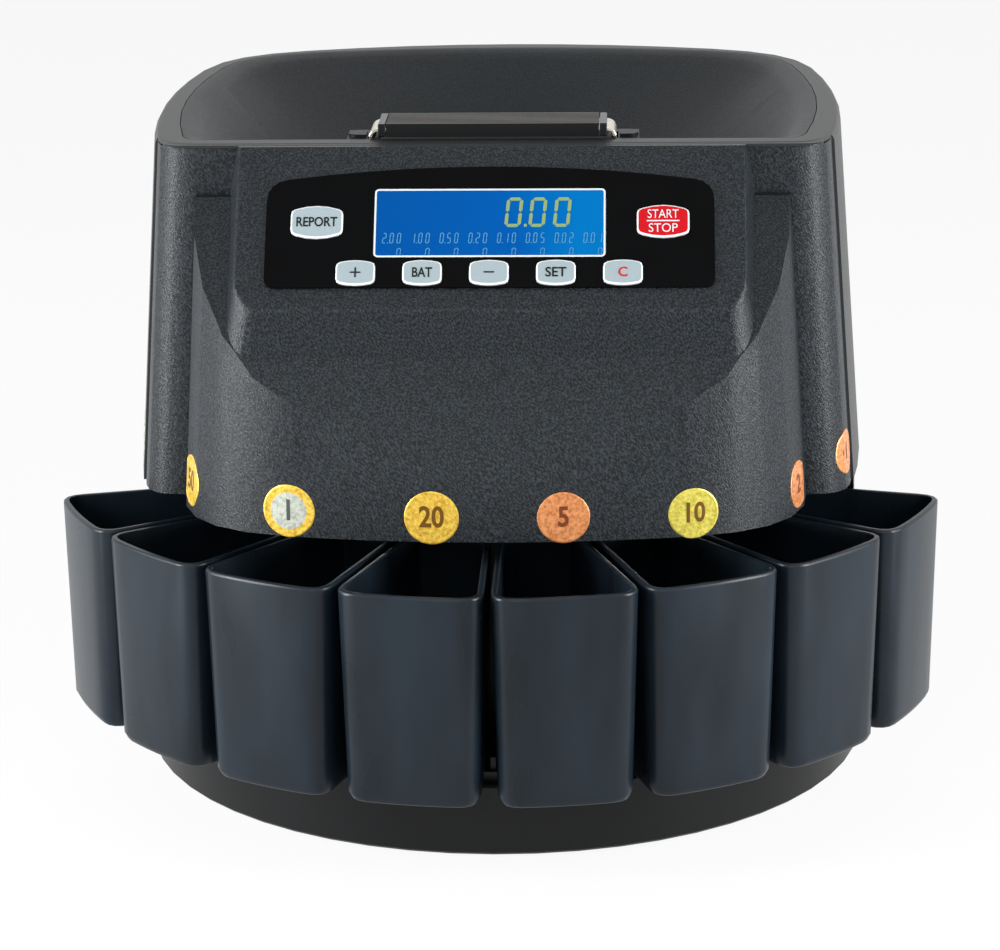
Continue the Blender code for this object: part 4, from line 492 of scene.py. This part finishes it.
figure_ink = printed("lit_segment", "86a06c", 0.3, 0.2)
small_ink = printed("faint_segment", "4a90bd", 0.3, 0.1)
TOTAL_LEFTS = (5.35 * MM, 14.35 * MM, 23.5 * MM)
TOTAL_LOW = 33.6 * MM
TOTAL_SIZE = (6.2 * MM, 12.3 * MM, 1.3 * MM)
TOTAL_POINT = (12.8 * MM, 13.9 * MM, 33.7 * MM, 34.9 * MM)
VALUES = ("200", "100", "050", "020", "010", "005", "002", "001")
VALUE_LEFT = -40.3 * MM
VALUE_PITCH = 10.74 * MM
VALUE_LOW = 26.9 * MM
DIGIT_PITCH = 2.73 * MM
DIGIT_SIZE = (1.55 * MM, 4.4 * MM, 0.4 * MM)
POINT_LEFT = 2.0 * MM
POINT_SIZE = 0.4 * MM
INK_CORNER = 0.1 * MM
COUNT_LOW = 21.9 * MM
COUNT_SIZE = (1.7 * MM, 3.1 * MM, 0.4 * MM)
big, small = [], []
for left in TOTAL_LEFTS:
    big += figure("0", left, TOTAL_LOW, *TOTAL_SIZE)
big.append(rounded(*TOTAL_POINT, 0.3 * MM))
flat_piece("display_total", big, glass_top, figure_ink, "housing")
for place, value in enumerate(VALUES):
    start = VALUE_LEFT + VALUE_PITCH * place
    for count, digit in enumerate(value):
        small += figure(digit, start + count * DIGIT_PITCH, VALUE_LOW, *DIGIT_SIZE)
    point = start + POINT_LEFT
    small.append(rounded(point, point + POINT_SIZE, VALUE_LOW, VALUE_LOW + POINT_SIZE,
                         INK_CORNER, 1))
    # The window's frame hides the lower part of each count.
    small += figure("cut 0", start + 2 * DIGIT_PITCH, COUNT_LOW, *COUNT_SIZE)
flat_piece("display_values", small, glass_top, small_ink, "housing")


# Keys: seven caps that stand a little out of the film, each over a dome switch.
# Moulded polycarbonate with a white printed edge, pale grey faces, and one red start and stop key.
def key_cap(cad_node, finish):
    """A key with its white edge: the CAD key, its top split into an edge and a face."""
    piece = skin(cad_node, "cap", finish, edge=0.12 * MM)
    piece.data.materials.append(edge_ink)
    bm = bmesh.new()
    bm.from_mesh(piece.data)
    out = face.to_3x3() @ Vector((0, 0, 1))
    tops = [one for one in bm.faces if one.normal.dot(out) > STRAIGHT_OUT
            and (into_face @ one.calc_center_median()).z > height_on_face(cad_node) - TOP_SLACK]
    bmesh.ops.inset_region(bm, faces=tops, thickness=KEY_EDGE, use_even_offset=True)
    for one in bm.faces:
        one.material_index = 0 if one in tops else 1
    bm.to_mesh(piece.data)
    bm.free()


KEY_EDGE = 0.2 * MM
TOP_SLACK = 0.1 * MM
STRAIGHT_OUT = 0.999
edge_ink = printed("white_key_edge", "f2f5f6", 0.3)
key_grey = printed("pale_key_plastic", "a9b9be", 0.35)
key_red = printed("red_key_plastic", "d0101c", 0.35)
dark_ink = printed("dark_key_ink", "0b0f11", 0.4)
red_ink = printed("red_key_ink", "d8202c", 0.4)
LIGHT_KEYS = (("key_report", "REPORT"), ("key_plus", "+"), ("key_batch", "BAT"),
              ("key_minus", "-"), ("key_set", "SET"), ("key_clear", "C"))
for cad_node, words in LIGHT_KEYS:
    key_cap(cad_node, key_grey)
key_cap("key_start", key_red)


TYPE_OF_CAPITAL = 1.4


def words_mesh(name, words, size, bold, thick=0.0):
    """Words as a mesh in the plane, centred. bold thickens the strokes, in metres."""
    curve = bpy.data.curves.new(name, "FONT")
    curve.body = words
    curve.size = size
    curve.align_x = "CENTER"
    curve.align_y = "CENTER"
    curve.resolution_u = 4
    curve.offset = bold
    curve.extrude = thick / 2
    text = bpy.data.objects.new(name + "_text", curve)
    bpy.context.scene.collection.objects.link(text)
    bpy.context.view_layer.update()
    view = bpy.context.evaluated_depsgraph_get()
    mesh = bpy.data.meshes.new_from_object(text.evaluated_get(view))
    bpy.data.objects.remove(text)
    mesh.name = name
    return mesh


def lettering(name, words, middle, low, size, finish, body, bold=0.02):
    """Words printed on the console face, size metres wide and high, centred on a face point.
    bold is how much the strokes are thickened, as a share of the height."""
    mesh = words_mesh(name, words, TYPE_OF_CAPITAL * size[1], bold * size[1], PRINT)
    spans = [(min(v.co[axis] for v in mesh.vertices), max(v.co[axis] for v in mesh.vertices))
             for axis in (0, 1)]
    scale = [size[axis] / (spans[axis][1] - spans[axis][0]) for axis in (0, 1)]
    shift = [middle[axis] - scale[axis] * sum(spans[axis]) / 2 for axis in (0, 1)]
    mesh.transform(face @ Matrix.Translation((*shift, low + PRINT / 2))
                   @ Matrix.Diagonal((*scale, 1, 1)))
    mesh.materials.clear()
    mesh.materials.append(finish)
    piece = bpy.data.objects.new(name, mesh)
    bpy.context.scene.collection.objects.link(piece)
    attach(piece, body)


def middle_of(cad_node):
    """The middle of a CAD key on the console face, and the height of its top."""
    low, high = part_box(cad_node)
    middle = into_face @ ((low + high) / 2)
    return (middle.x, middle.y), height_on_face(cad_node)


SIGN_HALF = 2.0 * MM
SIGN_BAR = 0.29 * MM
LEGEND_HEIGHT = 4.0 * MM
LEGEND_WIDTHS = {"REPORT": 15.3 * MM, "BAT": 7.4 * MM, "SET": 7.8 * MM, "C": 3.4 * MM}
for cad_node, words in LIGHT_KEYS:
    body = frame["nodes"][cad_node]["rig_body"]
    middle, top = middle_of(cad_node)
    name = f"{cad_node}_legend"
    if words in "+-":
        u, v = middle
        bars = [rounded(u - SIGN_HALF, u + SIGN_HALF, v - SIGN_BAR, v + SIGN_BAR, INK_CORNER, 1)]
        if words == "+":
            bars.append(rounded(u - SIGN_BAR, u + SIGN_BAR, v + SIGN_BAR, v + SIGN_HALF,
                                INK_CORNER, 1))
            bars.append(rounded(u - SIGN_BAR, u + SIGN_BAR, v - SIGN_HALF, v - SIGN_BAR,
                                INK_CORNER, 1))
        flat_piece(name, bars, top, dark_ink, body)
    else:
        ink = red_ink if words == "C" else dark_ink
        size = (LEGEND_WIDTHS[words], LEGEND_HEIGHT)
        lettering(name, words, middle, top, size, ink, body)

body = frame["nodes"]["key_start"]["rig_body"]
middle, top = middle_of("key_start")
START_ROW = 2.9 * MM
START_HEIGHT = 3.6 * MM
START_LINE_HALF = 6.15 * MM
START_LINE_BAR = 0.25 * MM
for name, words, row, wide in (("key_start_legend", "START", START_ROW, 11.6 * MM),
                               ("key_stop_legend", "STOP", -START_ROW, 10.8 * MM)):
    lettering(name, words, (middle[0], middle[1] + row), top, (wide, START_HEIGHT), white_ink,
              body, 0)
u, v = middle
flat_piece("key_start_line", [rounded(u - START_LINE_HALF, u + START_LINE_HALF,
                                      v - START_LINE_BAR, v + START_LINE_BAR, INK_CORNER, 1)],
           top, white_ink, body)


# Coin discs above the cups, which say what falls into each.
# Printed and domed stickers in the colours of coins, with a plain number and rings, no picture.
walls = []
for cad_node in ("front_panel", "top_cover"):
    data = frame["nodes"][cad_node].data
    walls.append(BVHTree.FromPolygons([v.co for v in data.vertices],
                                      [one.vertices[:] for one in data.polygons]))
FAN_MIDDLE = Vector((0, 17.461, 0)) * MM
OUTSIDE = 300 * MM
PROBE = 10 * MM
DISC_THICK = 0.25 * MM
DISC_POINTS = 56
# How proud the disc stands from its middle to its edge: shares of its radius and thickness.
DISC_PROFILE = ((0.0, 0.6), (0.3, 0.6), (0.55, 0.6), (0.7, 0.62), (0.74, 0.5), (0.8, 0.62),
                (0.88, 0.65), (0.92, 1.0), (0.97, 1.0), (1.0, 0.1))
RING_SHARE = 0.72
NUMBER_SIZE = 1.15
NUMBER_BOLD = 0.03
NUMBER_STRETCH = (0.8, 0.95)
NUMBER_PROUD = 0.9
NUMBER_CUTS = 8


def on_wall(start, way):
    """Where a line meets the front panel or the cover first, and which way the wall faces."""
    met = [one for one in (wall.ray_cast(start, way) for wall in walls) if one[0] is not None]
    return min(met, key=lambda one: one[3])[:2] if met else (None, None)


def coin_sticker(name, angle, height, radius, rings, words, ink):
    """A round sticker on the wall at that angle round the fan, and its number."""
    away = Vector((math.sin(math.radians(angle)), -math.cos(math.radians(angle)), 0))
    start = FAN_MIDDLE + away * OUTSIDE + Vector((0, 0, height))
    middle, out = on_wall(start, -away)
    side = Vector((0, 0, 1)).cross(out).normalized()
    up = out.cross(side)

    def laid(across, along, proud):
        """A point of the sticker, laid on the wall and standing that far proud of it."""
        above = middle + side * across + up * along + out * PROBE
        met = on_wall(above, -out)[0]
        return (met if met is not None else above - out * PROBE) + out * proud

    mesh = bpy.data.meshes.new(name)
    bm = bmesh.new()
    centre = bm.verts.new(laid(0, 0, DISC_PROFILE[0][1] * DISC_THICK))
    last = None
    for share, high in DISC_PROFILE[1:]:
        ring = []
        for step in range(DISC_POINTS):
            turn = math.tau * step / DISC_POINTS
            ring.append(bm.verts.new(laid(radius * share * math.cos(turn),
                                          radius * share * math.sin(turn), high * DISC_THICK)))
        for step in range(DISC_POINTS):
            after = (step + 1) % DISC_POINTS
            if last is None:
                made = bm.faces.new((centre, ring[step], ring[after]))
            else:
                made = bm.faces.new((last[step], ring[step], ring[after], last[after]))
            made.material_index = 0 if share > RING_SHARE else 1
            made.smooth = True
        last = ring
    bm.to_mesh(mesh)
    bm.free()
    for finish in rings:
        mesh.materials.append(finish)
    piece = bpy.data.objects.new(name, mesh)
    bpy.context.scene.collection.objects.link(piece)
    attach(piece, "housing")

    number = words_mesh(name + "_number", words, radius * NUMBER_SIZE, radius * NUMBER_BOLD)
    bm = bmesh.new()
    bm.from_mesh(number)
    bmesh.ops.remove_doubles(bm, verts=bm.verts, dist=0.01 * MM)
    # Cut every millimetre, the number can follow the curve of the wall.
    for step in range(-NUMBER_CUTS, NUMBER_CUTS + 1):
        bmesh.ops.bisect_plane(bm, geom=bm.verts[:] + bm.edges[:] + bm.faces[:],
                               plane_co=(step * MM, 0, 0), plane_no=(1, 0, 0))
    for one in bm.verts:
        one.co = laid(one.co.x * NUMBER_STRETCH[0], one.co.y * NUMBER_STRETCH[1],
                      DISC_THICK * NUMBER_PROUD)
    bm.to_mesh(number)
    bm.free()
    number.materials.clear()
    number.materials.append(ink)
    plate = bpy.data.objects.new(name + "_number", number)
    bpy.context.scene.collection.objects.link(plate)
    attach(plate, "housing")


def coin_print(name, dark, bright):
    """A coin-coloured print under a clear dome: worked metal in blotches of a few millimetres."""
    made, tree, shader = material(name)
    place = node(tree, "TexCoord").outputs["Object"]
    worn = node(tree, "TexNoise", {"Scale": 1 / (1.6 * MM), "Detail": 5.0, "Roughness": 0.7},
                {"Vector": place}).outputs["Fac"]
    tint = ramp(tree, worn, (0.36, dark), (0.6, bright))
    relief = node(tree, "Bump", {"Strength": 0.6, "Distance": 0.1 * MM}, {"Height": worn})
    tree.links.new(tint, shader.inputs["Base Color"])
    tree.links.new(relief.outputs[0], shader.inputs["Normal"])
    shader.inputs["Metallic"].default_value = 0.35
    shader.inputs["Roughness"].default_value = 0.3
    return made


gold = coin_print("gold_coin_print", "b98a20", "ecc94e")
brass = coin_print("brass_coin_print", "a8992c", "dccf5e")
copper = coin_print("copper_coin_print", "b5652f", "e39a62")
silver = coin_print("silver_coin_print", "8f958c", "c3c8bb")
gold_ink = printed("gold_number_ink", "6f4a10", 0.4)
copper_ink = printed("copper_number_ink", "7c3d1c", 0.4)
silver_ink = printed("silver_number_ink", "4b5048", 0.4)
COINS = (
    ("coin_disc_1", -72.0, 141.0, 9.4, (silver, gold), "2", gold_ink),
    ("coin_disc_2", -46.7, 139.6, 10.0, (gold, gold), "50", gold_ink),
    ("coin_disc_3", -27.99, 137.3, 10.2, (gold, silver), "1", silver_ink),
    ("coin_disc_4", -8.2, 136.7, 10.3, (gold, gold), "20", gold_ink),
    ("coin_disc_5", 10.5, 136.7, 9.9, (copper, copper), "5", copper_ink),
    ("coin_disc_6", 28.2, 136.3, 9.7, (brass, brass), "10", gold_ink),
    ("coin_disc_7", 47.3, 137.5, 9.2, (copper, copper), "2", copper_ink),
    ("coin_disc_8", 60.9, 141.6, 8.8, (copper, copper), "1", copper_ink),
)
for name, angle, height, radius, rings, words, ink in COINS:
    coin_sticker(name, angle, height * MM, radius * MM, rings, words, ink)


# Coin cups: eight loose cups in a fan, one for each size of coin.
# Injection-moulded ABS from a polished tool, in a gloss blue-black, drawn straight up and out.
gloss_abs, tree, shader = material("gloss_abs")
place = node(tree, "TexCoord").outputs["Object"]
flow = node(tree, "Mapping", {"Scale": (1, 1, 0.3)}, {"Vector": place}).outputs[0]
# Plastic that flowed up a tall thin wall leaves soft clouds, about 20 mm across.
flow = node(tree, "TexNoise", {"Scale": 1 / (20 * MM), "Detail": 2.0}, {"Vector": flow})
tint = ramp(tree, flow.outputs["Fac"], (0.3, "10171d"), (0.7, "1a242d"))
gloss = node(tree, "MapRange", {"From Min": 0.3, "From Max": 0.7, "To Min": 0.26, "To Max": 0.34},
             {"Value": flow.outputs["Fac"]})
shader.inputs["Specular IOR Level"].default_value = 0.24
rub = node(tree, "TexNoise", {"Scale": 1 / (0.8 * MM), "Detail": 2.0}, {"Vector": place})
relief = node(tree, "Bump", {"Strength": 0.2, "Distance": 0.01 * MM},
              {"Height": rub.outputs["Fac"]})
feed(tree, shader, tint, gloss.outputs[0], relief.outputs[0])
CUPS = 8
for number in range(1, CUPS + 1):
    skin(f"coin_cup_{number}", "moulding", gloss_abs, edge=0.5 * MM)


# Base pan, the round foot that the cups stand on, with a low rib between each two cups.
# Injection-moulded ABS, satin black.
satin_abs = moulded("satin_abs", "08090a", "0f1113", 0.36, 0.5 * MM, 0.01 * MM, 0.22)
skin("base_pan", "moulding", satin_abs, edge=0.5 * MM)


# Lower housing, the drum behind the cups, with the power and data fittings in its back.
# Injection-moulded ABS, satin black as the pan is.
skin("lower_housing", "moulding", satin_abs)


# Back fittings: the mains inlet, the switch with its rocker, and the data port.
# Each is a bought-in part of polyamide, clipped or screwed into its opening.
# The glass fibres in it make it a dull black.
inlet_nylon = moulded("glass_filled_nylon", "0c0d0e", "17191a", 0.5, 0.4 * MM, 0.02 * MM)
skin("mains_inlet", "moulding", inlet_nylon, edge=0.25 * MM)
skin("switch_frame", "moulding", inlet_nylon, edge=0.25 * MM)
skin("power_rocker", "moulding", gloss_abs, edge=0.3 * MM)
skin("data_port", "shell", inlet_nylon, edge=0.2 * MM)


def fitted(name, shape, size, place, finish, cad_node, outward=(0, 0, 1),
           round_edge=0.1 * MM):
    """A small bought-in part on a CAD node: a block, or a rod whose size is width, width, length,
    centred on place, with its own z axis turned outward."""
    mesh = bpy.data.meshes.new(name)
    bm = bmesh.new()
    if shape == "block":
        bmesh.ops.create_cube(bm, size=1)
    else:
        bmesh.ops.create_cone(bm, segments=ROD_SIDES, cap_ends=True, radius1=0.5, radius2=0.5,
                              depth=1)
    bm.transform(Matrix.Diagonal((*size, 1)))
    bm.transform(Vector(outward).to_track_quat("Z", "Y").to_matrix().to_4x4())
    bm.transform(Matrix.Translation(place))
    bm.to_mesh(mesh)
    bm.free()
    mesh.shade_smooth()
    mesh.set_sharp_from_angle(angle=SHARP_ANGLE)
    mesh.materials.append(finish)
    piece = bpy.data.objects.new(name, mesh)
    bpy.context.scene.collection.objects.link(piece)
    if round_edge:
        edges = piece.modifiers.new("round_edges", "BEVEL")
        edges.width = round_edge
        edges.segments = 2
        edges.limit_method = "ANGLE"
        edges.angle_limit = SHARP_ANGLE
    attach(piece, frame["nodes"][cad_node]["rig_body"])


def from_behind(cad_node, low, high, across, up):
    """Where a line from behind meets a CAD node, at a distance from the middle of its box, and
    which way its surface faces there."""
    middle = (low + high) / 2
    data = frame["nodes"][cad_node].data
    tree = BVHTree.FromPolygons([v.co for v in data.vertices],
                                [one.vertices[:] for one in data.polygons])
    start = Vector((middle.x + across, OUTSIDE, middle.z + up))
    return tree.ray_cast(start, Vector((0, -1, 0)))[:2]


# Tin-plated brass blades in the inlet and stamped contacts in the port catch a warm glint.
SHARP_ANGLE = math.radians(40)
ROD_SIDES = 24
tin = rolled("tin_plated_brass", "a89c78", "cfc6a6", 0.3, 0.4 * MM, "Y")
BLADE = (2 * MM, 4 * MM, 8 * MM)
low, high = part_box("mains_inlet")
for name, across, up in (("live", -7 * MM, -2 * MM), ("neutral", 7 * MM, -2 * MM),
                         ("earth", 0, 3 * MM)):
    seat = from_behind("mains_inlet", low, high, across, up)[0]
    fitted(f"inlet_blade_{name}", "block", BLADE, seat + Vector((0, BLADE[2] / 2, 0)), tin,
           "mains_inlet", (0, 1, 0), 0.4 * MM)
CONTACTS = 4
CONTACT = (0.8 * MM, 1.2 * MM, 3 * MM)
CONTACT_PITCH = 2 * MM
low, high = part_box("data_port")
for count in range(CONTACTS):
    across = (count - (CONTACTS - 1) / 2) * CONTACT_PITCH
    seat = from_behind("data_port", low, high, across, 0)[0]
    fitted(f"port_contact_{count + 1}", "block", CONTACT, seat + Vector((0, CONTACT[2] / 2, 0)),
           tin, "data_port", (0, 1, 0))

# The rocker's marks: a bar, and a ring that is a white disc with a smaller black one on it.
low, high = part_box("power_rocker")
for name, up, shape, size, finish in (
    ("on", 2.2 * MM, "block", (0.7 * MM, 3 * MM, 2 * PRINT), white_ink),
    ("off", -3.0 * MM, "rod", (3 * MM, 3 * MM, 2 * PRINT), white_ink),
    ("off_middle", -3.0 * MM, "rod", (1.7 * MM, 1.7 * MM, 3 * PRINT), gloss_abs),
):
    seat, out = from_behind("power_rocker", low, high, 0, up)
    fitted(f"rocker_mark_{name}", shape, size, seat, finish, "power_rocker", out, 0)


# Sorting works: the disc throws coins against the rail, and the deck's windows let them through.
# Deck and gauge are brushed steel, rail, sensor and disc moulded, gears cut. The motor hangs from
# the deck, the transformer stands on the pan, and board and display sit behind the console.
# Zinc is a dull blue-grey. Brushed stainless steel is brighter, with fine lines.
zinc = rolled("zinc_plated_steel", "7d8388", "a9afb3", 0.38, 0.8 * MM, "X")
steel = rolled("brushed_stainless_steel", "8d9193", "c4c7c8", 0.3, 0.4 * MM, "X")
skin("sorting_deck", "plate", steel)
skin("gauge_ring", "plate", steel, edge=0.15 * MM)
skin("coin_rail", "moulding", satin_abs)
skin("sensor_bar", "housing", satin_abs)
skin("feed_disc", "moulding", satin_abs)
skin("disc_spindle", "turned", steel, edge=0.2 * MM)
skin("spindle_bearing", "turned", zinc, edge=0.2 * MM)
# Acetal is cut to a smooth cream with a soft shine.
acetal = moulded("cut_acetal", "c9c6ba", "dedbd0", 0.38, 0.5 * MM, 0.01 * MM)
skin("spindle_gear", "cut", acetal, edge=0.1 * MM, turn=20)
skin("motor_pinion", "cut", acetal, edge=0.1 * MM, turn=20)
skin("motor_bracket", "pressing", zinc, edge=0.3 * MM)
skin("drive_motor", "can", steel, edge=0.3 * MM)
# The lacquer over a board's copper is a glossy green, lighter where the copper is.
board_green = moulded("solder_masked_board", "0e4a2a", "156b3b", 0.35, 0.8 * MM, 0.02 * MM)
skin("control_board", "board", board_green, edge=0)
skin("display_module", "module", zinc, edge=0.2 * MM)
skin("power_supply", "unit", zinc, edge=0.2 * MM)

# Gaps in the transformer's core, tabs on the motor, screws in the bearing's flange.
# The gaps are thin black strips laid on the core: painted shade, as no light gets into them.
painted_shade_black = moulded("painted_gap_shade", "040404", "0a0a0a", 0.6, 0.6 * MM, 0.02 * MM, 0.2)
SHADE_STRIPS = 7
SHADE_STRIP_WIDTH = 1.6 * MM
SHADE_STRIP_SHARE = 0.6
low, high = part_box("power_supply")
for count in range(SHADE_STRIPS):
    across = low.x + (high.x - low.x) * (count + 1) / (SHADE_STRIPS + 1)
    fitted(f"supply_gap_shade_{count + 1}", "block",
           (SHADE_STRIP_WIDTH, SHADE_STRIP_SHARE * (high.y - low.y), 0.2 * MM),
           Vector((across, (low.y + high.y) / 2, high.z)), painted_shade_black, "power_supply",
           round_edge=0)
TAB = (0.8 * MM, 4 * MM, 5 * MM)
TAB_OUT = 8 * MM
TAB_DOWN = 2 * MM
low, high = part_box("drive_motor")
for number, side in ((1, -1), (2, 1)):
    fitted(f"motor_tab_{number}", "block", TAB,
           Vector(((low.x + high.x) / 2 + side * TAB_OUT, (low.y + high.y) / 2,
                   low.z - TAB_DOWN)), tin, "drive_motor")
FLANGE_SCREWS = 3
FLANGE_SCREW = (4.5 * MM, 4.5 * MM, 2 * MM)
FLANGE_RADIUS = 11.5 * MM
low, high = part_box("spindle_bearing")
for count in range(FLANGE_SCREWS):
    turn = math.tau * count / FLANGE_SCREWS
    away = Vector((math.cos(turn), math.sin(turn), 0)) * FLANGE_RADIUS
    fitted(f"bearing_screw_{count + 1}", "rod", FLANGE_SCREW,
           Vector(((low.x + high.x) / 2, (low.y + high.y) / 2, low.z)) + away, zinc,
           "spindle_bearing", round_edge=0.4 * MM)

# Parts under the control board, in mm on the console face, and a dome switch under each key.
# Their epoxy is a flat near-black.
chip_epoxy = moulded("chip_epoxy", "101112", "18191a", 0.5, 0.3 * MM, 0.01 * MM, 0.3)
BOARD_PARTS = (("controller", -20, 30, (14, 14, 1.6)), ("driver", 18, 32, (10, 6, 1.6)),
               ("memory", 40, 18, (5, 6, 1.2)), ("regulator", -55, 20, (7, 10, 3)),
               ("plug", 0, 10, (22, 6, 6)))
DOME_WIDTH = 5 * MM
DOME_HEIGHT = 0.2 * MM
board_low = min((into_face @ v.co).z for v in frame["nodes"]["control_board"].data.vertices)
board_top = height_on_face("control_board")
out = face.to_3x3() @ Vector((0, 0, 1))
for name, u, v, size in BOARD_PARTS:
    size = Vector(size) * MM
    fitted(f"board_{name}", "block", size,
           face @ Vector((u * MM, v * MM, board_low - size.z / 2)), chip_epoxy,
           "control_board", out, 0.2 * MM)
for cad_node in [one[0] for one in LIGHT_KEYS] + ["key_start"]:
    u, v = middle_of(cad_node)[0]
    fitted(f"{cad_node}_dome", "rod", (DOME_WIDTH, DOME_WIDTH, DOME_HEIGHT),
           face @ Vector((u, v, board_top + DOME_HEIGHT / 2)), zinc, "control_board",
           out, 0)


# Bottom plate, its screws and the four feet.
# A zinc-plated steel sheet closes the counter from below. Four cross-headed screws hold it, and
# four turned rubber feet stand under it.
skin("bottom_plate", "sheet", zinc, edge=0.2 * MM)
# The feet are a matt dark grey.
rubber_foot = moulded("foot_rubber", "151515", "1f1f1f", 0.7, 0.6 * MM, 0.03 * MM)
FEET = 4
for number in range(1, FEET + 1):
    screw = f"plate_screw_{number}"
    skin(screw, "screw", zinc, edge=0.15 * MM)
    low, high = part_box(screw)
    head = Vector(((low.x + high.x) / 2, (low.y + high.y) / 2, low.z))
    # The cross recess in each screw head is two thin black bars: painted shade.
    # One bar of the cross is a little thicker, so that the two don't share a face.
    for way, size in (("x", (3.2 * MM, 0.7 * MM, 0.1 * MM)),
                      ("y", (0.7 * MM, 3.2 * MM, 0.12 * MM))):
        fitted(f"{screw}_cross_{way}", "block", size, head, painted_shade_black, screw,
               round_edge=0)
    skin(f"rubber_foot_{number}", "foot", rubber_foot, edge=0.3 * MM)
